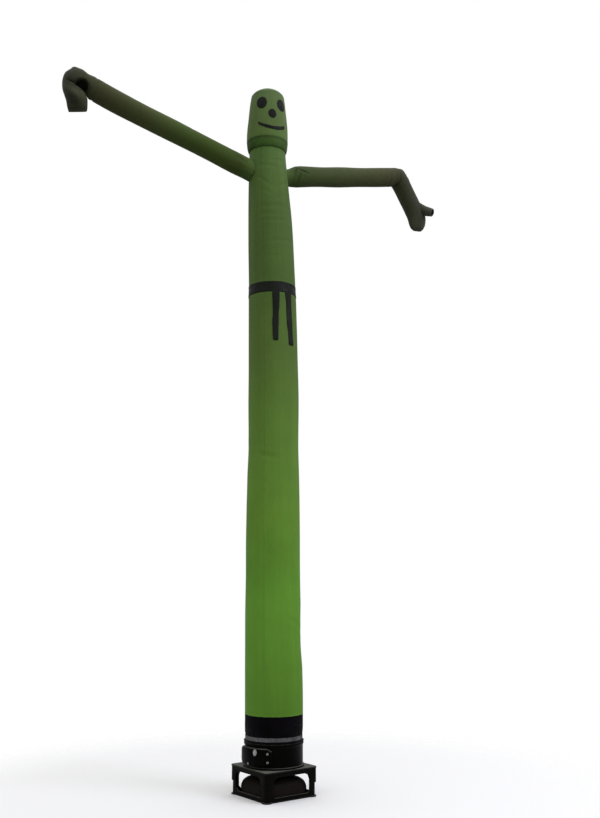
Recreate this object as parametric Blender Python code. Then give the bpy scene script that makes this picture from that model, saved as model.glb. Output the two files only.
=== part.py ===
# Inflatable tube dancer standing on its fan blower.
#
# A tall tapered tube of green nylon is strapped to the outlet of a blower, and the air
# holds it up. The head is a wider cap on the neck of the tube, and two long tube arms
# come out below it. Lengths are metres and +Z is up. The origin is the middle of the
# blower's bottom pan on the ground, and the face looks along -Y.

import math

import bmesh
import bpy
from mathutils import Vector

for old in list(bpy.data.objects):
    bpy.data.objects.remove(old, do_unlink=True)

# Driving dimensions
CLOTH = 0.002            # thickness of the nylon with its coating
SEWN_GAP = 0.0003        # space between pieces that lie on each other
TUBE_SIDES = 40
ARM_SIDES = 20

# The tube: height, radius and where its middle has leaned to
TUBE = [
    dict(z=0.6075, radius=0.2275, x=0.000, y=0.000),
    dict(z=0.76, radius=0.2290, x=0.000, y=0.000),
    dict(z=0.95, radius=0.2275, x=-0.003, y=0.001),
    dict(z=1.15, radius=0.2225, x=-0.009, y=0.003),
    dict(z=1.55, radius=0.2205, x=-0.012, y=0.004),
    dict(z=1.96, radius=0.2190, x=-0.014, y=0.004),
    dict(z=2.3, radius=0.2165, x=-0.015, y=0.004),
    dict(z=2.48, radius=0.2140, x=-0.016, y=0.005),
    dict(z=2.74, radius=0.2065, x=-0.014, y=0.004),
    dict(z=3.14, radius=0.2075, x=-0.015, y=0.004),
    dict(z=3.55, radius=0.2045, x=-0.021, y=0.006),
    dict(z=3.985, radius=0.1995, x=-0.029, y=0.008),
    dict(z=4.075, radius=0.1965, x=-0.031, y=0.009),
    dict(z=4.4, radius=0.1935, x=-0.041, y=0.012),
    dict(z=4.68, radius=0.1865, x=-0.051, y=0.015),
    dict(z=4.97, radius=0.1720, x=-0.064, y=0.019),
    dict(z=5.15, radius=0.1620, x=-0.072, y=0.021),
    dict(z=5.285, radius=0.1560, x=-0.076, y=0.022),
]
TUBE_STEP = 0.215        # tallest stretch between two rings of the tube
BELT_LOW = 3.985
BELT_HIGH = 4.075

# Soft troughs (positive depth) and ridges (negative) along the tube
TUBE_FOLDS = [
    dict(angle=-33.0, wide=16.0, low=3.60, high=5.20, depth=0.0060),
    dict(angle=8.0, wide=14.0, low=4.10, high=5.25, depth=0.0030),
    dict(angle=52.0, wide=18.0, low=4.30, high=5.20, depth=0.0050),
    dict(angle=-75.0, wide=18.0, low=4.05, high=5.15, depth=0.0045),
    dict(angle=118.0, wide=20.0, low=3.20, high=5.20, depth=0.0070),
    dict(angle=-140.0, wide=20.0, low=2.60, high=5.10, depth=0.0060),
    dict(angle=-100.0, wide=26.0, low=2.25, high=2.75, depth=0.0060),
    dict(angle=74.0, wide=26.0, low=0.95, high=1.45, depth=0.0060),
    dict(angle=20.0, wide=30.0, low=1.70, high=2.60, depth=-0.0030),
    dict(angle=165.0, wide=24.0, low=0.80, high=2.30, depth=0.0050),
    dict(angle=-50.0, wide=22.0, low=0.75, high=1.90, depth=0.0030),
]

# The head: a cap that is wider than the neck, with a folded jaw line
HEAD = [
    dict(z=5.2853, radius=0.1560),
    dict(z=5.330, radius=0.1685),
    dict(z=5.368, radius=0.1765),
    dict(z=5.384, radius=0.1777),
    dict(z=5.440, radius=0.1775),
    dict(z=5.500, radius=0.1745),
    dict(z=5.570, radius=0.1680),
    dict(z=5.640, radius=0.1620),
    dict(z=5.710, radius=0.1570),
    dict(z=5.765, radius=0.1510),
    dict(z=5.805, radius=0.1430),
    dict(z=5.833, radius=0.1215),
    dict(z=5.856, radius=0.0880),
    dict(z=5.877, radius=0.0440),
]
HEAD_TOP = 5.885
HEAD_X = -0.077
HEAD_Y = 0.022
HEAD_SIDES = 32
FACE_TILT = -0.06        # how far the face drops per metre towards +X

# The face, cut from black cloth: where each piece sits and its flat size
EYE_ANGLE = 33.5
EYE_Z = 5.685
EYE_WIDTH = 0.094
EYE_HEIGHT = 0.112
NOSE_Z = 5.585
NOSE_WIDTH = 0.070
NOSE_HEIGHT = 0.086
MOUTH_ANGLE = 41.0
MOUTH_Z = 5.452
MOUTH_RISE = 0.040
MOUTH_WIDTH = 0.026
PATCH_LIFT = 0.0009

# The belt's two hanging tails: angle and width at the top and at the end
BELT_TAILS = [
    dict(name="belt_tail_left", top=-6.3, end=-9.0, top_width=0.058, end_width=0.044, low=3.569),
    dict(name="belt_tail_right", top=25.5, end=31.0, top_width=0.062, end_width=0.052, low=3.540),
]

# Arms run in an upright plane that leaves the tube's middle along a heading. out is the
# distance along that heading, side is across it, turn is the way the arm points in the
# plane (0 outwards, 90 up), tall and deep are the section's half sizes.
SHOULDER_X = -0.070
SHOULDER_Y = 0.020
ARM_RAISED_HEADING = (-0.9978, -0.0661)
ARM_RAISED = [
    dict(out=0.020, side=0.000, z=5.052, turn=20.2, tall=0.0850, deep=0.0850),
    dict(out=0.110, side=0.000, z=5.085, turn=20.2, tall=0.0860, deep=0.0860),
    dict(out=0.190, side=0.000, z=5.118, turn=20.2, tall=0.0880, deep=0.0885),
    dict(out=0.300, side=0.000, z=5.157, turn=20.2, tall=0.0900, deep=0.0905),
    dict(out=0.485, side=0.000, z=5.226, turn=20.2, tall=0.0885, deep=0.0920),
    dict(out=0.700, side=0.000, z=5.304, turn=20.2, tall=0.0890, deep=0.0905),
    dict(out=0.902, side=0.000, z=5.377, turn=20.2, tall=0.0905, deep=0.0920),
    dict(out=1.110, side=0.000, z=5.450, turn=20.2, tall=0.0900, deep=0.0925),
    dict(out=1.310, side=0.000, z=5.525, turn=20.2, tall=0.0915, deep=0.0920),
    dict(out=1.430, side=0.000, z=5.574, turn=20.2, tall=0.0915, deep=0.0925),
    dict(out=1.518, side=0.000, z=5.613, turn=18.0, tall=0.0900, deep=0.0935),
    dict(out=1.562, side=0.000, z=5.634, turn=0.0, tall=0.0895, deep=0.0950),
    dict(out=1.604, side=0.000, z=5.652, turn=-15.0, tall=0.1125, deep=0.0960),
    dict(out=1.636, side=0.000, z=5.648, turn=-27.0, tall=0.1205, deep=0.0970),
    dict(out=1.660, side=0.000, z=5.626, turn=-40.0, tall=0.1250, deep=0.0970),
    dict(out=1.669, side=0.000, z=5.590, turn=-54.0, tall=0.1185, deep=0.0960),
    dict(out=1.665, side=0.000, z=5.549, turn=-69.5, tall=0.1075, deep=0.0920),
    dict(out=1.653, side=0.000, z=5.512, turn=-82.0, tall=0.0957, deep=0.0860),
    dict(out=1.644, side=0.000, z=5.476, turn=-90.0, tall=0.0869, deep=0.0740),
    dict(out=1.638, side=0.000, z=5.431, turn=-97.0, tall=0.0825, deep=0.0520),
    dict(out=1.634, side=0.000, z=5.399, turn=-100.0, tall=0.0765, deep=0.0200),
    dict(out=1.634, side=0.000, z=5.387, turn=-101.0, tall=0.0715, deep=0.0035),
]
ARM_BENT_HEADING = (0.9566, 0.2913)
ARM_BENT = [
    dict(out=0.020, side=0.000, z=5.070, turn=13.3, tall=0.0700, deep=0.0740),
    dict(out=0.110, side=0.000, z=5.091, turn=13.3, tall=0.0700, deep=0.0740),
    dict(out=0.201, side=0.000, z=5.113, turn=13.3, tall=0.0730, deep=0.0770),
    dict(out=0.255, side=0.000, z=5.131, turn=13.3, tall=0.0830, deep=0.0820),
    dict(out=0.310, side=0.000, z=5.150, turn=13.3, tall=0.0910, deep=0.0870),
    dict(out=0.391, side=0.000, z=5.170, turn=13.3, tall=0.0905, deep=0.0900),
    dict(out=0.636, side=0.000, z=5.225, turn=13.3, tall=0.0878, deep=0.0910),
    dict(out=0.907, side=0.000, z=5.289, turn=13.3, tall=0.0872, deep=0.0915),
    dict(out=1.165, side=0.000, z=5.351, turn=13.3, tall=0.0878, deep=0.0915),
    dict(out=1.348, side=0.000, z=5.396, turn=11.0, tall=0.0885, deep=0.0920),
    dict(out=1.420, side=0.000, z=5.413, turn=-12.0, tall=0.0905, deep=0.0940),
    dict(out=1.449, side=0.000, z=5.403, turn=-28.0, tall=0.0895, deep=0.0960),
    dict(out=1.466, side=-0.010, z=5.372, turn=-42.0, tall=0.0845, deep=0.0960),
    dict(out=1.500, side=-0.020, z=5.305, turn=-56.0, tall=0.0805, deep=0.0930),
    dict(out=1.535, side=-0.030, z=5.233, turn=-61.0, tall=0.0825, deep=0.0880),
    dict(out=1.570, side=-0.038, z=5.165, turn=-62.0, tall=0.0835, deep=0.0840),
    dict(out=1.604, side=-0.044, z=5.104, turn=-63.0, tall=0.0915, deep=0.0780),
    dict(out=1.628, side=-0.048, z=5.055, turn=-66.0, tall=0.0985, deep=0.0680),
    dict(out=1.639, side=-0.050, z=5.010, turn=-72.0, tall=0.1010, deep=0.0560),
    dict(out=1.642, side=-0.050, z=4.967, turn=-77.0, tall=0.0945, deep=0.0430),
    dict(out=1.638, side=-0.050, z=4.929, turn=-82.0, tall=0.0760, deep=0.0260),
    dict(out=1.635, side=-0.050, z=4.903, turn=-84.0, tall=0.0440, deep=0.0050),
]
# The fold of the raised wrist pushes the near side of its sections in
WRIST_POCKET = [
    dict(ring=12, angle=124.0, wide=58.0, depth=0.032),
    dict(ring=13, angle=118.0, wide=72.0, depth=0.084),
    dict(ring=14, angle=112.0, wide=85.0, depth=0.070),
    dict(ring=15, angle=112.0, wide=70.0, depth=0.026),
]
THUMB_SIDES = 12
THUMB_CLEAR = 0.0008

# The cuff at the foot of the tube, drawn in under its strap
CUFF = [
    dict(z=0.410, radius=0.2360),
    dict(z=0.4225, radius=0.2215),
    dict(z=0.4525, radius=0.2215),
    dict(z=0.475, radius=0.2250),
    dict(z=0.530, radius=0.2275),
    dict(z=0.6072, radius=0.2275),
]
STRAP_LOW = 0.4225
STRAP_HIGH = 0.4525
STRAP_THICK = 0.003

# The blower
DRUM_RADIUS = 0.2275
NECK_RADIUS = 0.2188
DRUM_WALL = 0.003
DRUM_LOW = 0.2213
DRUM_HIGH = 0.470
BEAD_Z = 0.394
BEAD_RADIUS = 0.2330
FLANGE_RADIUS = 0.2370
BASE_TURN = 20.5         # the square base stands turned on the face's direction
BASE_SIDE = 0.482          # its upper part
BASE_FOOT_SIDE = 0.468     # its lower part, a little smaller
BASE_STEP_Z = 0.100
BASE_WALL = 0.014
PAN_THICK = 0.008
PLATE_SIDE = 0.490
EAR_RADIUS = 0.040         # a holding-down ear on the pan at each corner
EAR_OUT = 0.293
EAR_HOLE = 0.005
PLATE_LOW = 0.211
PLATE_HIGH = 0.221
ARCH_WIDTH = 0.348
ARCH_LOW = 0.034
ARCH_HIGH = 0.180
ARCH_CHAMFER = 0.048
BOX_ANGLES = (-99.0, -18.0)
BOX_LOW = 0.249
BOX_HIGH = 0.378
BOX_CORNER = 0.020
BOX_PROUD = 0.025
SCREWS = [
    dict(angle=-26.0, z=0.343),
    dict(angle=-25.6, z=0.281),
    dict(angle=-66.0, z=0.262),
]

parts = bpy.data.collections.new("tube_dancer")
bpy.context.scene.collection.children.link(parts)
cutters = bpy.data.collections.new("cutters")
bpy.context.scene.collection.children.link(cutters)


def paint(name, colour, roughness, metallic=0.0):
    """A plain material in the colour of the real piece."""
    made = bpy.data.materials.new(name)
    made.use_nodes = True
    shader = made.node_tree.nodes["Principled BSDF"]
    shader.inputs["Base Color"].default_value = (*colour, 1.0)
    shader.inputs["Roughness"].default_value = roughness
    shader.inputs["Metallic"].default_value = metallic
    made.diffuse_color = (*colour, 1.0)
    return made


GREEN_TUBE = dict(colour=(0.080, 0.200, 0.030), roughness=0.62)
GREEN_ARM = dict(colour=(0.055, 0.095, 0.022), roughness=0.62)
BLACK_CLOTH = dict(colour=(0.012, 0.012, 0.014), roughness=0.60)
BLACK_SHELL = dict(colour=(0.010, 0.010, 0.009), roughness=0.42)


def keep(name, bm, look, smooth=True, cutter=False):
    """Turns the modelled faces into a named object with its own material."""
    bmesh.ops.remove_doubles(bm, verts=bm.verts, dist=0.00002)
    bmesh.ops.recalc_face_normals(bm, faces=bm.faces)
    mesh = bpy.data.meshes.new(name)
    bm.to_mesh(mesh)
    bm.free()
    made = bpy.data.objects.new(name, mesh)
    if cutter:
        cutters.objects.link(made)
        made.hide_render = True
        made.display_type = "WIRE"
        return made
    parts.objects.link(made)
    mesh.materials.append(paint(name, **look))
    if smooth:
        mesh.shade_smooth()
    return made


def between(rows, z, column):
    """Reads a column at a height, eased through the rows."""
    if z <= rows[0]["z"]:
        return rows[0][column]
    for low, high in zip(rows, rows[1:]):
        if z <= high["z"]:
            t = (z - low["z"]) / (high["z"] - low["z"])
            return low[column] + (high[column] - low[column]) * t
    return rows[-1][column]


def swell(t):
    """A soft bump that is 1 in the middle and 0 from -1 and +1 outwards."""
    if abs(t) >= 1.0:
        return 0.0
    return math.cos(t * math.pi / 2.0) ** 2


def fold_depth(angle, z):
    """How far the folds draw the tube in at this angle and height."""
    total = 0.0
    for fold in TUBE_FOLDS:
        away = (angle - fold["angle"] + 180.0) % 360.0 - 180.0
        middle = (fold["low"] + fold["high"]) / 2.0
        half = (fold["high"] - fold["low"]) / 2.0
        total += fold["depth"] * swell(away / fold["wide"]) * swell((z - middle) / half) ** 0.5
    return total


def tube_point(angle, z, grow=0.0):
    """A point on the tube's outer face, or grow outside it. Angle 0 is -Y, 90 is +X."""
    radius = between(TUBE, z, "radius") + grow - fold_depth(angle, z)
    a = math.radians(angle)
    x = between(TUBE, z, "x") + radius * math.sin(a)
    y = between(TUBE, z, "y") - radius * math.cos(a)
    return Vector((x, y, z))


def tube_heights(low, high):
    """Ring heights: the rows of the table, with long stretches divided."""
    rows = [row["z"] for row in TUBE if low < row["z"] < high]
    edges = [low] + rows + [high]
    heights = [low]
    for start, end in zip(edges, edges[1:]):
        count = max(1, math.ceil((end - start) / TUBE_STEP))
        for step in range(1, count + 1):
            heights.append(start + (end - start) * step / count)
    return heights


def tube_ring(z, grow=0.0):
    """One ring of the tube."""
    return [tube_point(360.0 * k / TUBE_SIDES, z, grow) for k in range(TUBE_SIDES)]


def bridge(bm, first, second):
    """Faces between two rings of as many points."""
    count = len(first)
    for k in range(count):
        bm.faces.new((first[k], first[(k + 1) % count], second[(k + 1) % count], second[k]))


def cap(bm, ring, flip):
    """Closes a ring with a fan of faces around its middle."""
    middle = bm.verts.new(sum((v.co for v in ring), Vector()) / len(ring))
    for k in range(len(ring)):
        pair = (ring[k], ring[(k + 1) % len(ring)])
        bm.faces.new((*(reversed(pair) if flip else pair), middle))


def loft(rings, close_start=False, close_end=False, bm=None):
    """A skin over rings of points, returned with its first and last ring."""
    bm = bm or bmesh.new()
    made = [[bm.verts.new(p) for p in ring] for ring in rings]
    for first, second in zip(made, made[1:]):
        bridge(bm, first, second)
    if close_start:
        cap(bm, made[0], True)
    if close_end:
        cap(bm, made[-1], False)
    return bm, made[0], made[-1]


def sheet_tube(outer, inner, close_end=False):
    """A tube of cloth: an outer skin, an inner skin, and the rims that join them."""
    bm, outer_start, outer_end = loft(outer, close_end=close_end)
    bm, inner_start, inner_end = loft(inner, close_end=close_end, bm=bm)
    bridge(bm, outer_start, inner_start)
    if not close_end:
        bridge(bm, outer_end, inner_end)
    return bm


def cut(target, tool):
    """Cuts the tool's shape out of the target."""
    step = target.modifiers.new("cut", "BOOLEAN")
    step.operation = "DIFFERENCE"
    step.solver = "EXACT"
    step.object = tool
    bpy.context.view_layer.update()
    graph = bpy.context.evaluated_depsgraph_get()
    result = bpy.data.meshes.new_from_object(target.evaluated_get(graph))
    target.modifiers.clear()
    old = target.data
    target.data = result
    bpy.data.meshes.remove(old)
    result.shade_smooth()


def slab(name, grid_out, grid_in, look):
    """A flat piece of cloth laid on something round: two faces and the edge all round."""
    bm = bmesh.new()
    out = [[bm.verts.new(p) for p in row] for row in grid_out]
    back = [[bm.verts.new(p) for p in row] for row in grid_in]
    rows = len(out)
    columns = len(out[0])
    for i in range(rows - 1):
        for j in range(columns - 1):
            bm.faces.new((out[i][j], out[i][j + 1], out[i + 1][j + 1], out[i + 1][j]))
            bm.faces.new((back[i][j], back[i + 1][j], back[i + 1][j + 1], back[i][j + 1]))
    for i in range(rows - 1):
        bm.faces.new((out[i][0], out[i + 1][0], back[i + 1][0], back[i][0]))
        bm.faces.new((out[i][-1], back[i][-1], back[i + 1][-1], out[i + 1][-1]))
    for j in range(columns - 1):
        bm.faces.new((out[0][j], back[0][j], back[0][j + 1], out[0][j + 1]))
        bm.faces.new((out[-1][j], out[-1][j + 1], back[-1][j + 1], back[-1][j]))
    return keep(name, bm, look)


# The tube
heights = tube_heights(TUBE[0]["z"], TUBE[-1]["z"])
outer = [tube_ring(z) for z in heights]
inner = [tube_ring(z, -CLOTH) for z in heights]
body_tube = keep("body_tube", sheet_tube(outer, inner), GREEN_TUBE)
core_rings = [tube_ring(z, SEWN_GAP) for z in heights]
core_bm = loft(core_rings, close_start=True, close_end=True)[0]
tube_core = keep("tube_core", core_bm, GREEN_TUBE, cutter=True)


# The arms
def arm_section(row, heading, shrink=0.0, back=0.0, pocket=None):
    """One section of an arm, drawn in by shrink and moved back along the arm."""
    ahead = Vector((heading[0], heading[1], 0.0))
    across = Vector((-heading[1], heading[0], 0.0))
    turn = math.radians(row["turn"])
    along = ahead * math.cos(turn) + Vector((0.0, 0.0, math.sin(turn)))
    up = ahead * -math.sin(turn) + Vector((0.0, 0.0, math.cos(turn)))
    middle = Vector((SHOULDER_X, SHOULDER_Y, row["z"])) + ahead * row["out"]
    middle += across * row["side"] - along * back
    near = across if heading[0] < 0.0 else -across
    ring = []
    for k in range(ARM_SIDES):
        a = 2.0 * math.pi * k / ARM_SIDES
        tall = max(row["tall"] - shrink, 0.0012)
        deep = max(row["deep"] - shrink, 0.0012)
        point = middle + up * (tall * math.cos(a)) + near * (deep * math.sin(a))
        if pocket:
            away = (math.degrees(a) - pocket["angle"] + 180.0) % 360.0 - 180.0
            point -= near * (pocket["depth"] * swell(away / pocket["wide"]))
        ring.append(point)
    return ring


def make_arm(name, rows, heading, pockets):
    """An arm of cloth, open where it is sewn to the tube and sewn flat at its end."""
    outer = []
    inner = []
    for number, row in enumerate(rows):
        pocket = next((p for p in pockets if p["ring"] == number), None)
        last = number == len(rows) - 1
        outer.append(arm_section(row, heading, pocket=pocket))
        inner.append(arm_section(row, heading, CLOTH, 0.004 if last else 0.0, pocket))
    arm = keep(name, sheet_tube(outer, inner, close_end=True), GREEN_ARM)
    cut(arm, tube_core)
    duct_rows = [dict(row, tall=row["tall"] - 0.012, deep=row["deep"] - 0.012) for row in rows[:4]]
    duct_rings = [arm_section(row, heading) for row in duct_rows]
    duct_bm = loft(duct_rings, close_start=True, close_end=True)[0]
    duct = keep(name + "_duct", duct_bm, GREEN_ARM, cutter=True)
    cut(body_tube, duct)
    return arm


arm_raised = make_arm("arm_raised", ARM_RAISED, ARM_RAISED_HEADING, WRIST_POCKET)
arm_bent = make_arm("arm_bent", ARM_BENT, ARM_BENT_HEADING, [])


# The thumbs
def make_thumb(name, arm_rows, heading, root, tip, radius):
    """A short open tube sewn to the side of a hand."""
    root = Vector(root)
    tip = Vector(tip)
    along = (tip - root).normalized()
    up = Vector((0.0, 0.0, 1.0))
    side = along.cross(up).normalized()
    up = side.cross(along)

    def ring(distance, r):
        middle = root + along * distance
        ring_points = []
        for k in range(THUMB_SIDES):
            a = 2.0 * math.pi * k / THUMB_SIDES
            ring_points.append(middle + up * (r * math.cos(a)) + side * (r * math.sin(a)))
        return ring_points

    length = (tip - root).length
    stations = [(0.0, 1.05), (0.45, 1.0), (0.65, 0.96), (0.85, 1.0), (1.0, 0.97)]
    outer = [ring(length * t, radius * size) for t, size in stations]
    inner = [ring(length * t, radius * size - CLOTH) for t, size in stations]
    thumb = keep(name, sheet_tube(outer, inner), GREEN_ARM)
    hand_rings = [arm_section(row, heading, -THUMB_CLEAR) for row in arm_rows]
    hand_bm = loft(hand_rings, close_start=True, close_end=True)[0]
    hand = keep(name + "_hand", hand_bm, GREEN_ARM, cutter=True)
    cut(thumb, hand)
    return thumb


THUMB_BENT_ROOT = (1.508, 0.455, 5.128)
THUMB_BENT_TIP = (1.633, 0.355, 5.076)
THUMB_RAISED_ROOT = (-1.730, -0.070, 5.570)
THUMB_RAISED_TIP = (-1.690, 0.100, 5.610)
THUMB_RADIUS = 0.0455
make_thumb("thumb_bent", ARM_BENT[13:], ARM_BENT_HEADING, THUMB_BENT_ROOT, THUMB_BENT_TIP, THUMB_RADIUS)
make_thumb("thumb_raised", ARM_RAISED[10:], ARM_RAISED_HEADING, THUMB_RAISED_ROOT, THUMB_RAISED_TIP, THUMB_RADIUS)


# The head
def head_point(angle, z, grow=0.0):
    """A point on the head's outer face, or grow outside it."""
    radius = between(HEAD, z, "radius") + grow
    a = math.radians(angle)
    return Vector((HEAD_X + radius * math.sin(a), HEAD_Y - radius * math.cos(a), z))


def head_ring(z, grow=0.0):
    """One ring of the head."""
    return [head_point(360.0 * k / HEAD_SIDES, z, grow) for k in range(HEAD_SIDES)]


head_heights = [row["z"] for row in HEAD]
head_outer = [head_ring(z) for z in head_heights]
head_inner = [head_ring(z, -CLOTH) for z in head_heights[:-1]]
head_inner.append([p - Vector((0.0, 0.0, CLOTH)) for p in head_ring(head_heights[-1], -CLOTH)])
bm, outer_start, outer_end = loft(head_outer)
top = bm.verts.new((HEAD_X, HEAD_Y, HEAD_TOP))
for k in range(HEAD_SIDES):
    bm.faces.new((outer_end[k], outer_end[(k + 1) % HEAD_SIDES], top))
bm, inner_start, inner_end = loft(head_inner, bm=bm)
under = bm.verts.new((HEAD_X, HEAD_Y, HEAD_TOP - CLOTH))
for k in range(HEAD_SIDES):
    bm.faces.new((inner_end[(k + 1) % HEAD_SIDES], inner_end[k], under))
bridge(bm, outer_start, inner_start)
head = keep("head", bm, GREEN_TUBE)


# The face, cut from black cloth and sewn on
def face_grid(outline, grow):
    """Rows of points over the head for a piece given as flat (across, low, high) stations."""
    grid = []
    for angle, across, low, high in outline:
        row = []
        for step in range(5):
            z = low + (high - low) * step / 4.0
            radius = between(HEAD, z, "radius")
            turned = angle + math.degrees(across / radius)
            tilt = FACE_TILT * radius * math.sin(math.radians(turned))
            row.append(head_point(turned, z + tilt, grow))
        grid.append(row)
    return grid


def sew_on(name, outline):
    """A piece of black cloth lying on the head."""
    grid_out = face_grid(outline, PATCH_LIFT + CLOTH)
    grid_in = face_grid(outline, PATCH_LIFT)
    return slab(name, grid_out, grid_in, BLACK_CLOTH)


def oval(angle, z, width, height):
    """Stations of an oval piece."""
    stations = []
    for k in range(11):
        t = math.sin(math.radians(-90.0 + 18.0 * k))
        half = max(height / 2.0 * math.sqrt(max(0.0, 1.0 - t * t)), 0.008)
        t = t if 0 < k < 10 else t * 0.985
        stations.append((angle, t * width / 2.0, z - half, z + half))
    return stations


def smile():
    """Stations of the mouth, a curved strip with rounded ends."""
    stations = []
    for k in range(17):
        t = -1.0 + k / 8.0
        rise = MOUTH_RISE * t * t
        half = MOUTH_WIDTH / 2.0 * (0.62 if k in (0, 16) else 1.0)
        angle = MOUTH_ANGLE * t
        stations.append((angle, 0.0, MOUTH_Z + rise - half, MOUTH_Z + rise + half))
    return stations


sew_on("eye_left", oval(-EYE_ANGLE, EYE_Z, EYE_WIDTH, EYE_HEIGHT))
sew_on("eye_right", oval(EYE_ANGLE, EYE_Z, EYE_WIDTH, EYE_HEIGHT))
sew_on("nose", oval(0.0, NOSE_Z, NOSE_WIDTH, NOSE_HEIGHT))
sew_on("mouth", smile())

# The belt and its tails
belt_rows = [z for z in heights if BELT_LOW - 0.001 < z < BELT_HIGH + 0.001]
belt_out = [tube_ring(z, SEWN_GAP + CLOTH) for z in belt_rows]
belt_in = [tube_ring(z, SEWN_GAP) for z in belt_rows]
keep("belt_band", sheet_tube(belt_out, belt_in), BLACK_CLOTH)


def tail_grid(tail, grow):
    """Rows of points down a tail that hangs just off the tube."""
    grid = []
    for step in range(9):
        t = step / 8.0
        z = BELT_LOW - 0.0006 + (tail["low"] - BELT_LOW) * t
        angle = tail["top"] + (tail["end"] - tail["top"]) * t
        half = (tail["top_width"] + (tail["end_width"] - tail["top_width"]) * t) / 2.0
        lift = grow + 0.0012 * math.sin(t * math.pi * 2.5) ** 2
        row = []
        for across in (-1.0, -0.5, 0.0, 0.5, 1.0):
            turned = angle + math.degrees(across * half / between(TUBE, z, "radius"))
            row.append(tube_point(turned, z, lift))
        grid.append(row)
    return grid


for tail in BELT_TAILS:
    slab(tail["name"], tail_grid(tail, 0.0012 + CLOTH), tail_grid(tail, 0.0012), BLACK_CLOTH)


# The cuff and its strap
def round_ring(radius, z, sides=TUBE_SIDES):
    """A round ring about the blower's axis."""
    ring = []
    for k in range(sides):
        a = 2.0 * math.pi * k / sides
        ring.append(Vector((radius * math.sin(a), -radius * math.cos(a), z)))
    return ring


cuff_out = [round_ring(row["radius"], row["z"]) for row in CUFF]
cuff_in = [round_ring(row["radius"] - CLOTH, row["z"]) for row in CUFF]
keep("base_cuff", sheet_tube(cuff_out, cuff_in), BLACK_CLOTH)
strap_radius = between(CUFF, STRAP_LOW, "radius") + SEWN_GAP
strap_out = [round_ring(strap_radius + STRAP_THICK, z) for z in (STRAP_LOW, STRAP_HIGH)]
strap_in = [round_ring(strap_radius, z) for z in (STRAP_LOW, STRAP_HIGH)]
keep("cuff_strap", sheet_tube(strap_out, strap_in), dict(colour=(0.19, 0.18, 0.18), roughness=0.55))

# The blower's drum: flange, wall, bead and the neck that the cuff is strapped to
DRUM = [
    dict(radius=FLANGE_RADIUS, z=DRUM_LOW),
    dict(radius=FLANGE_RADIUS, z=DRUM_LOW + 0.012),
    dict(radius=DRUM_RADIUS, z=DRUM_LOW + 0.016),
    dict(radius=DRUM_RADIUS, z=BEAD_Z - 0.014),
    dict(radius=BEAD_RADIUS, z=BEAD_Z - 0.006),
    dict(radius=BEAD_RADIUS, z=BEAD_Z + 0.006),
    dict(radius=NECK_RADIUS, z=BEAD_Z + 0.016),
    dict(radius=NECK_RADIUS, z=DRUM_HIGH),
]
drum_out = [round_ring(row["radius"], row["z"]) for row in DRUM]
drum_in = [round_ring(NECK_RADIUS - DRUM_WALL, row["z"]) for row in (DRUM[0], DRUM[-1])]
keep("fan_drum", sheet_tube(drum_out, drum_in), BLACK_SHELL)


# The square base
def turned(point, angle=BASE_TURN):
    """A point of the base, turned about the blower's axis."""
    a = math.radians(angle)
    x, y, z = point
    return Vector((x * math.cos(a) - y * math.sin(a), x * math.sin(a) + y * math.cos(a), z))


def square_ring(side, corner, z):
    """A square ring with rounded corners."""
    ring = []
    half = side / 2.0 - corner
    for sx, sy, start in ((1, -1, -90), (1, 1, 0), (-1, 1, 90), (-1, -1, 180)):
        for step in range(4):
            a = math.radians(start + 30.0 * step)
            point = (sx * half + corner * math.cos(a), sy * half + corner * math.sin(a), z)
            ring.append(turned(point))
    return ring


def stepped_block(corner, low, high):
    """The outside of the base: its upper part stands out over the lower."""
    sizes = [
        (BASE_FOOT_SIDE, low),
        (BASE_FOOT_SIDE, BASE_STEP_Z),
        (BASE_SIDE, BASE_STEP_Z + 0.005),
        (BASE_SIDE, high),
    ]
    rings = [square_ring(side, corner, z) for side, z in sizes]
    return loft(rings, close_start=True, close_end=True)[0]


def block(side, corner, low, high):
    """An upright block with rounded corners."""
    rings = [square_ring(side, corner, z) for z in (low, high)]
    return loft(rings, close_start=True, close_end=True)[0]


def arch_tool(name, angle):
    """The shape of the arched opening, running right through the base."""
    half = ARCH_WIDTH / 2.0
    outline = [
        (-half + 0.020, ARCH_LOW),
        (half - 0.020, ARCH_LOW),
        (half, ARCH_LOW + 0.020),
        (half, ARCH_HIGH - ARCH_CHAMFER),
        (half - ARCH_CHAMFER * 0.30, ARCH_HIGH - ARCH_CHAMFER * 0.30),
        (half - ARCH_CHAMFER, ARCH_HIGH),
        (-half + ARCH_CHAMFER, ARCH_HIGH),
        (-half + ARCH_CHAMFER * 0.30, ARCH_HIGH - ARCH_CHAMFER * 0.30),
        (-half, ARCH_HIGH - ARCH_CHAMFER),
        (-half, ARCH_LOW + 0.020),
    ]
    rings = []
    for y in (-BASE_SIDE, BASE_SIDE):
        rings.append([turned((x, y, z), BASE_TURN + angle) for x, z in outline])
    tool_bm = loft(rings, close_start=True, close_end=True)[0]
    return keep(name, tool_bm, BLACK_SHELL, cutter=True)


frame_low = PAN_THICK + SEWN_GAP
frame_high = PLATE_LOW - SEWN_GAP
base_frame = keep("base_frame", stepped_block(0.022, frame_low, frame_high), BLACK_SHELL)
room_bm = block(BASE_FOOT_SIDE - 2.0 * BASE_WALL, 0.012, frame_low - 0.01, frame_high + 0.01)
cut(base_frame, keep("room", room_bm, BLACK_SHELL, cutter=True))
cut(base_frame, arch_tool("arch_front", 0.0))
cut(base_frame, arch_tool("arch_side", 90.0))
base_frame.data.shade_flat()


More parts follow.
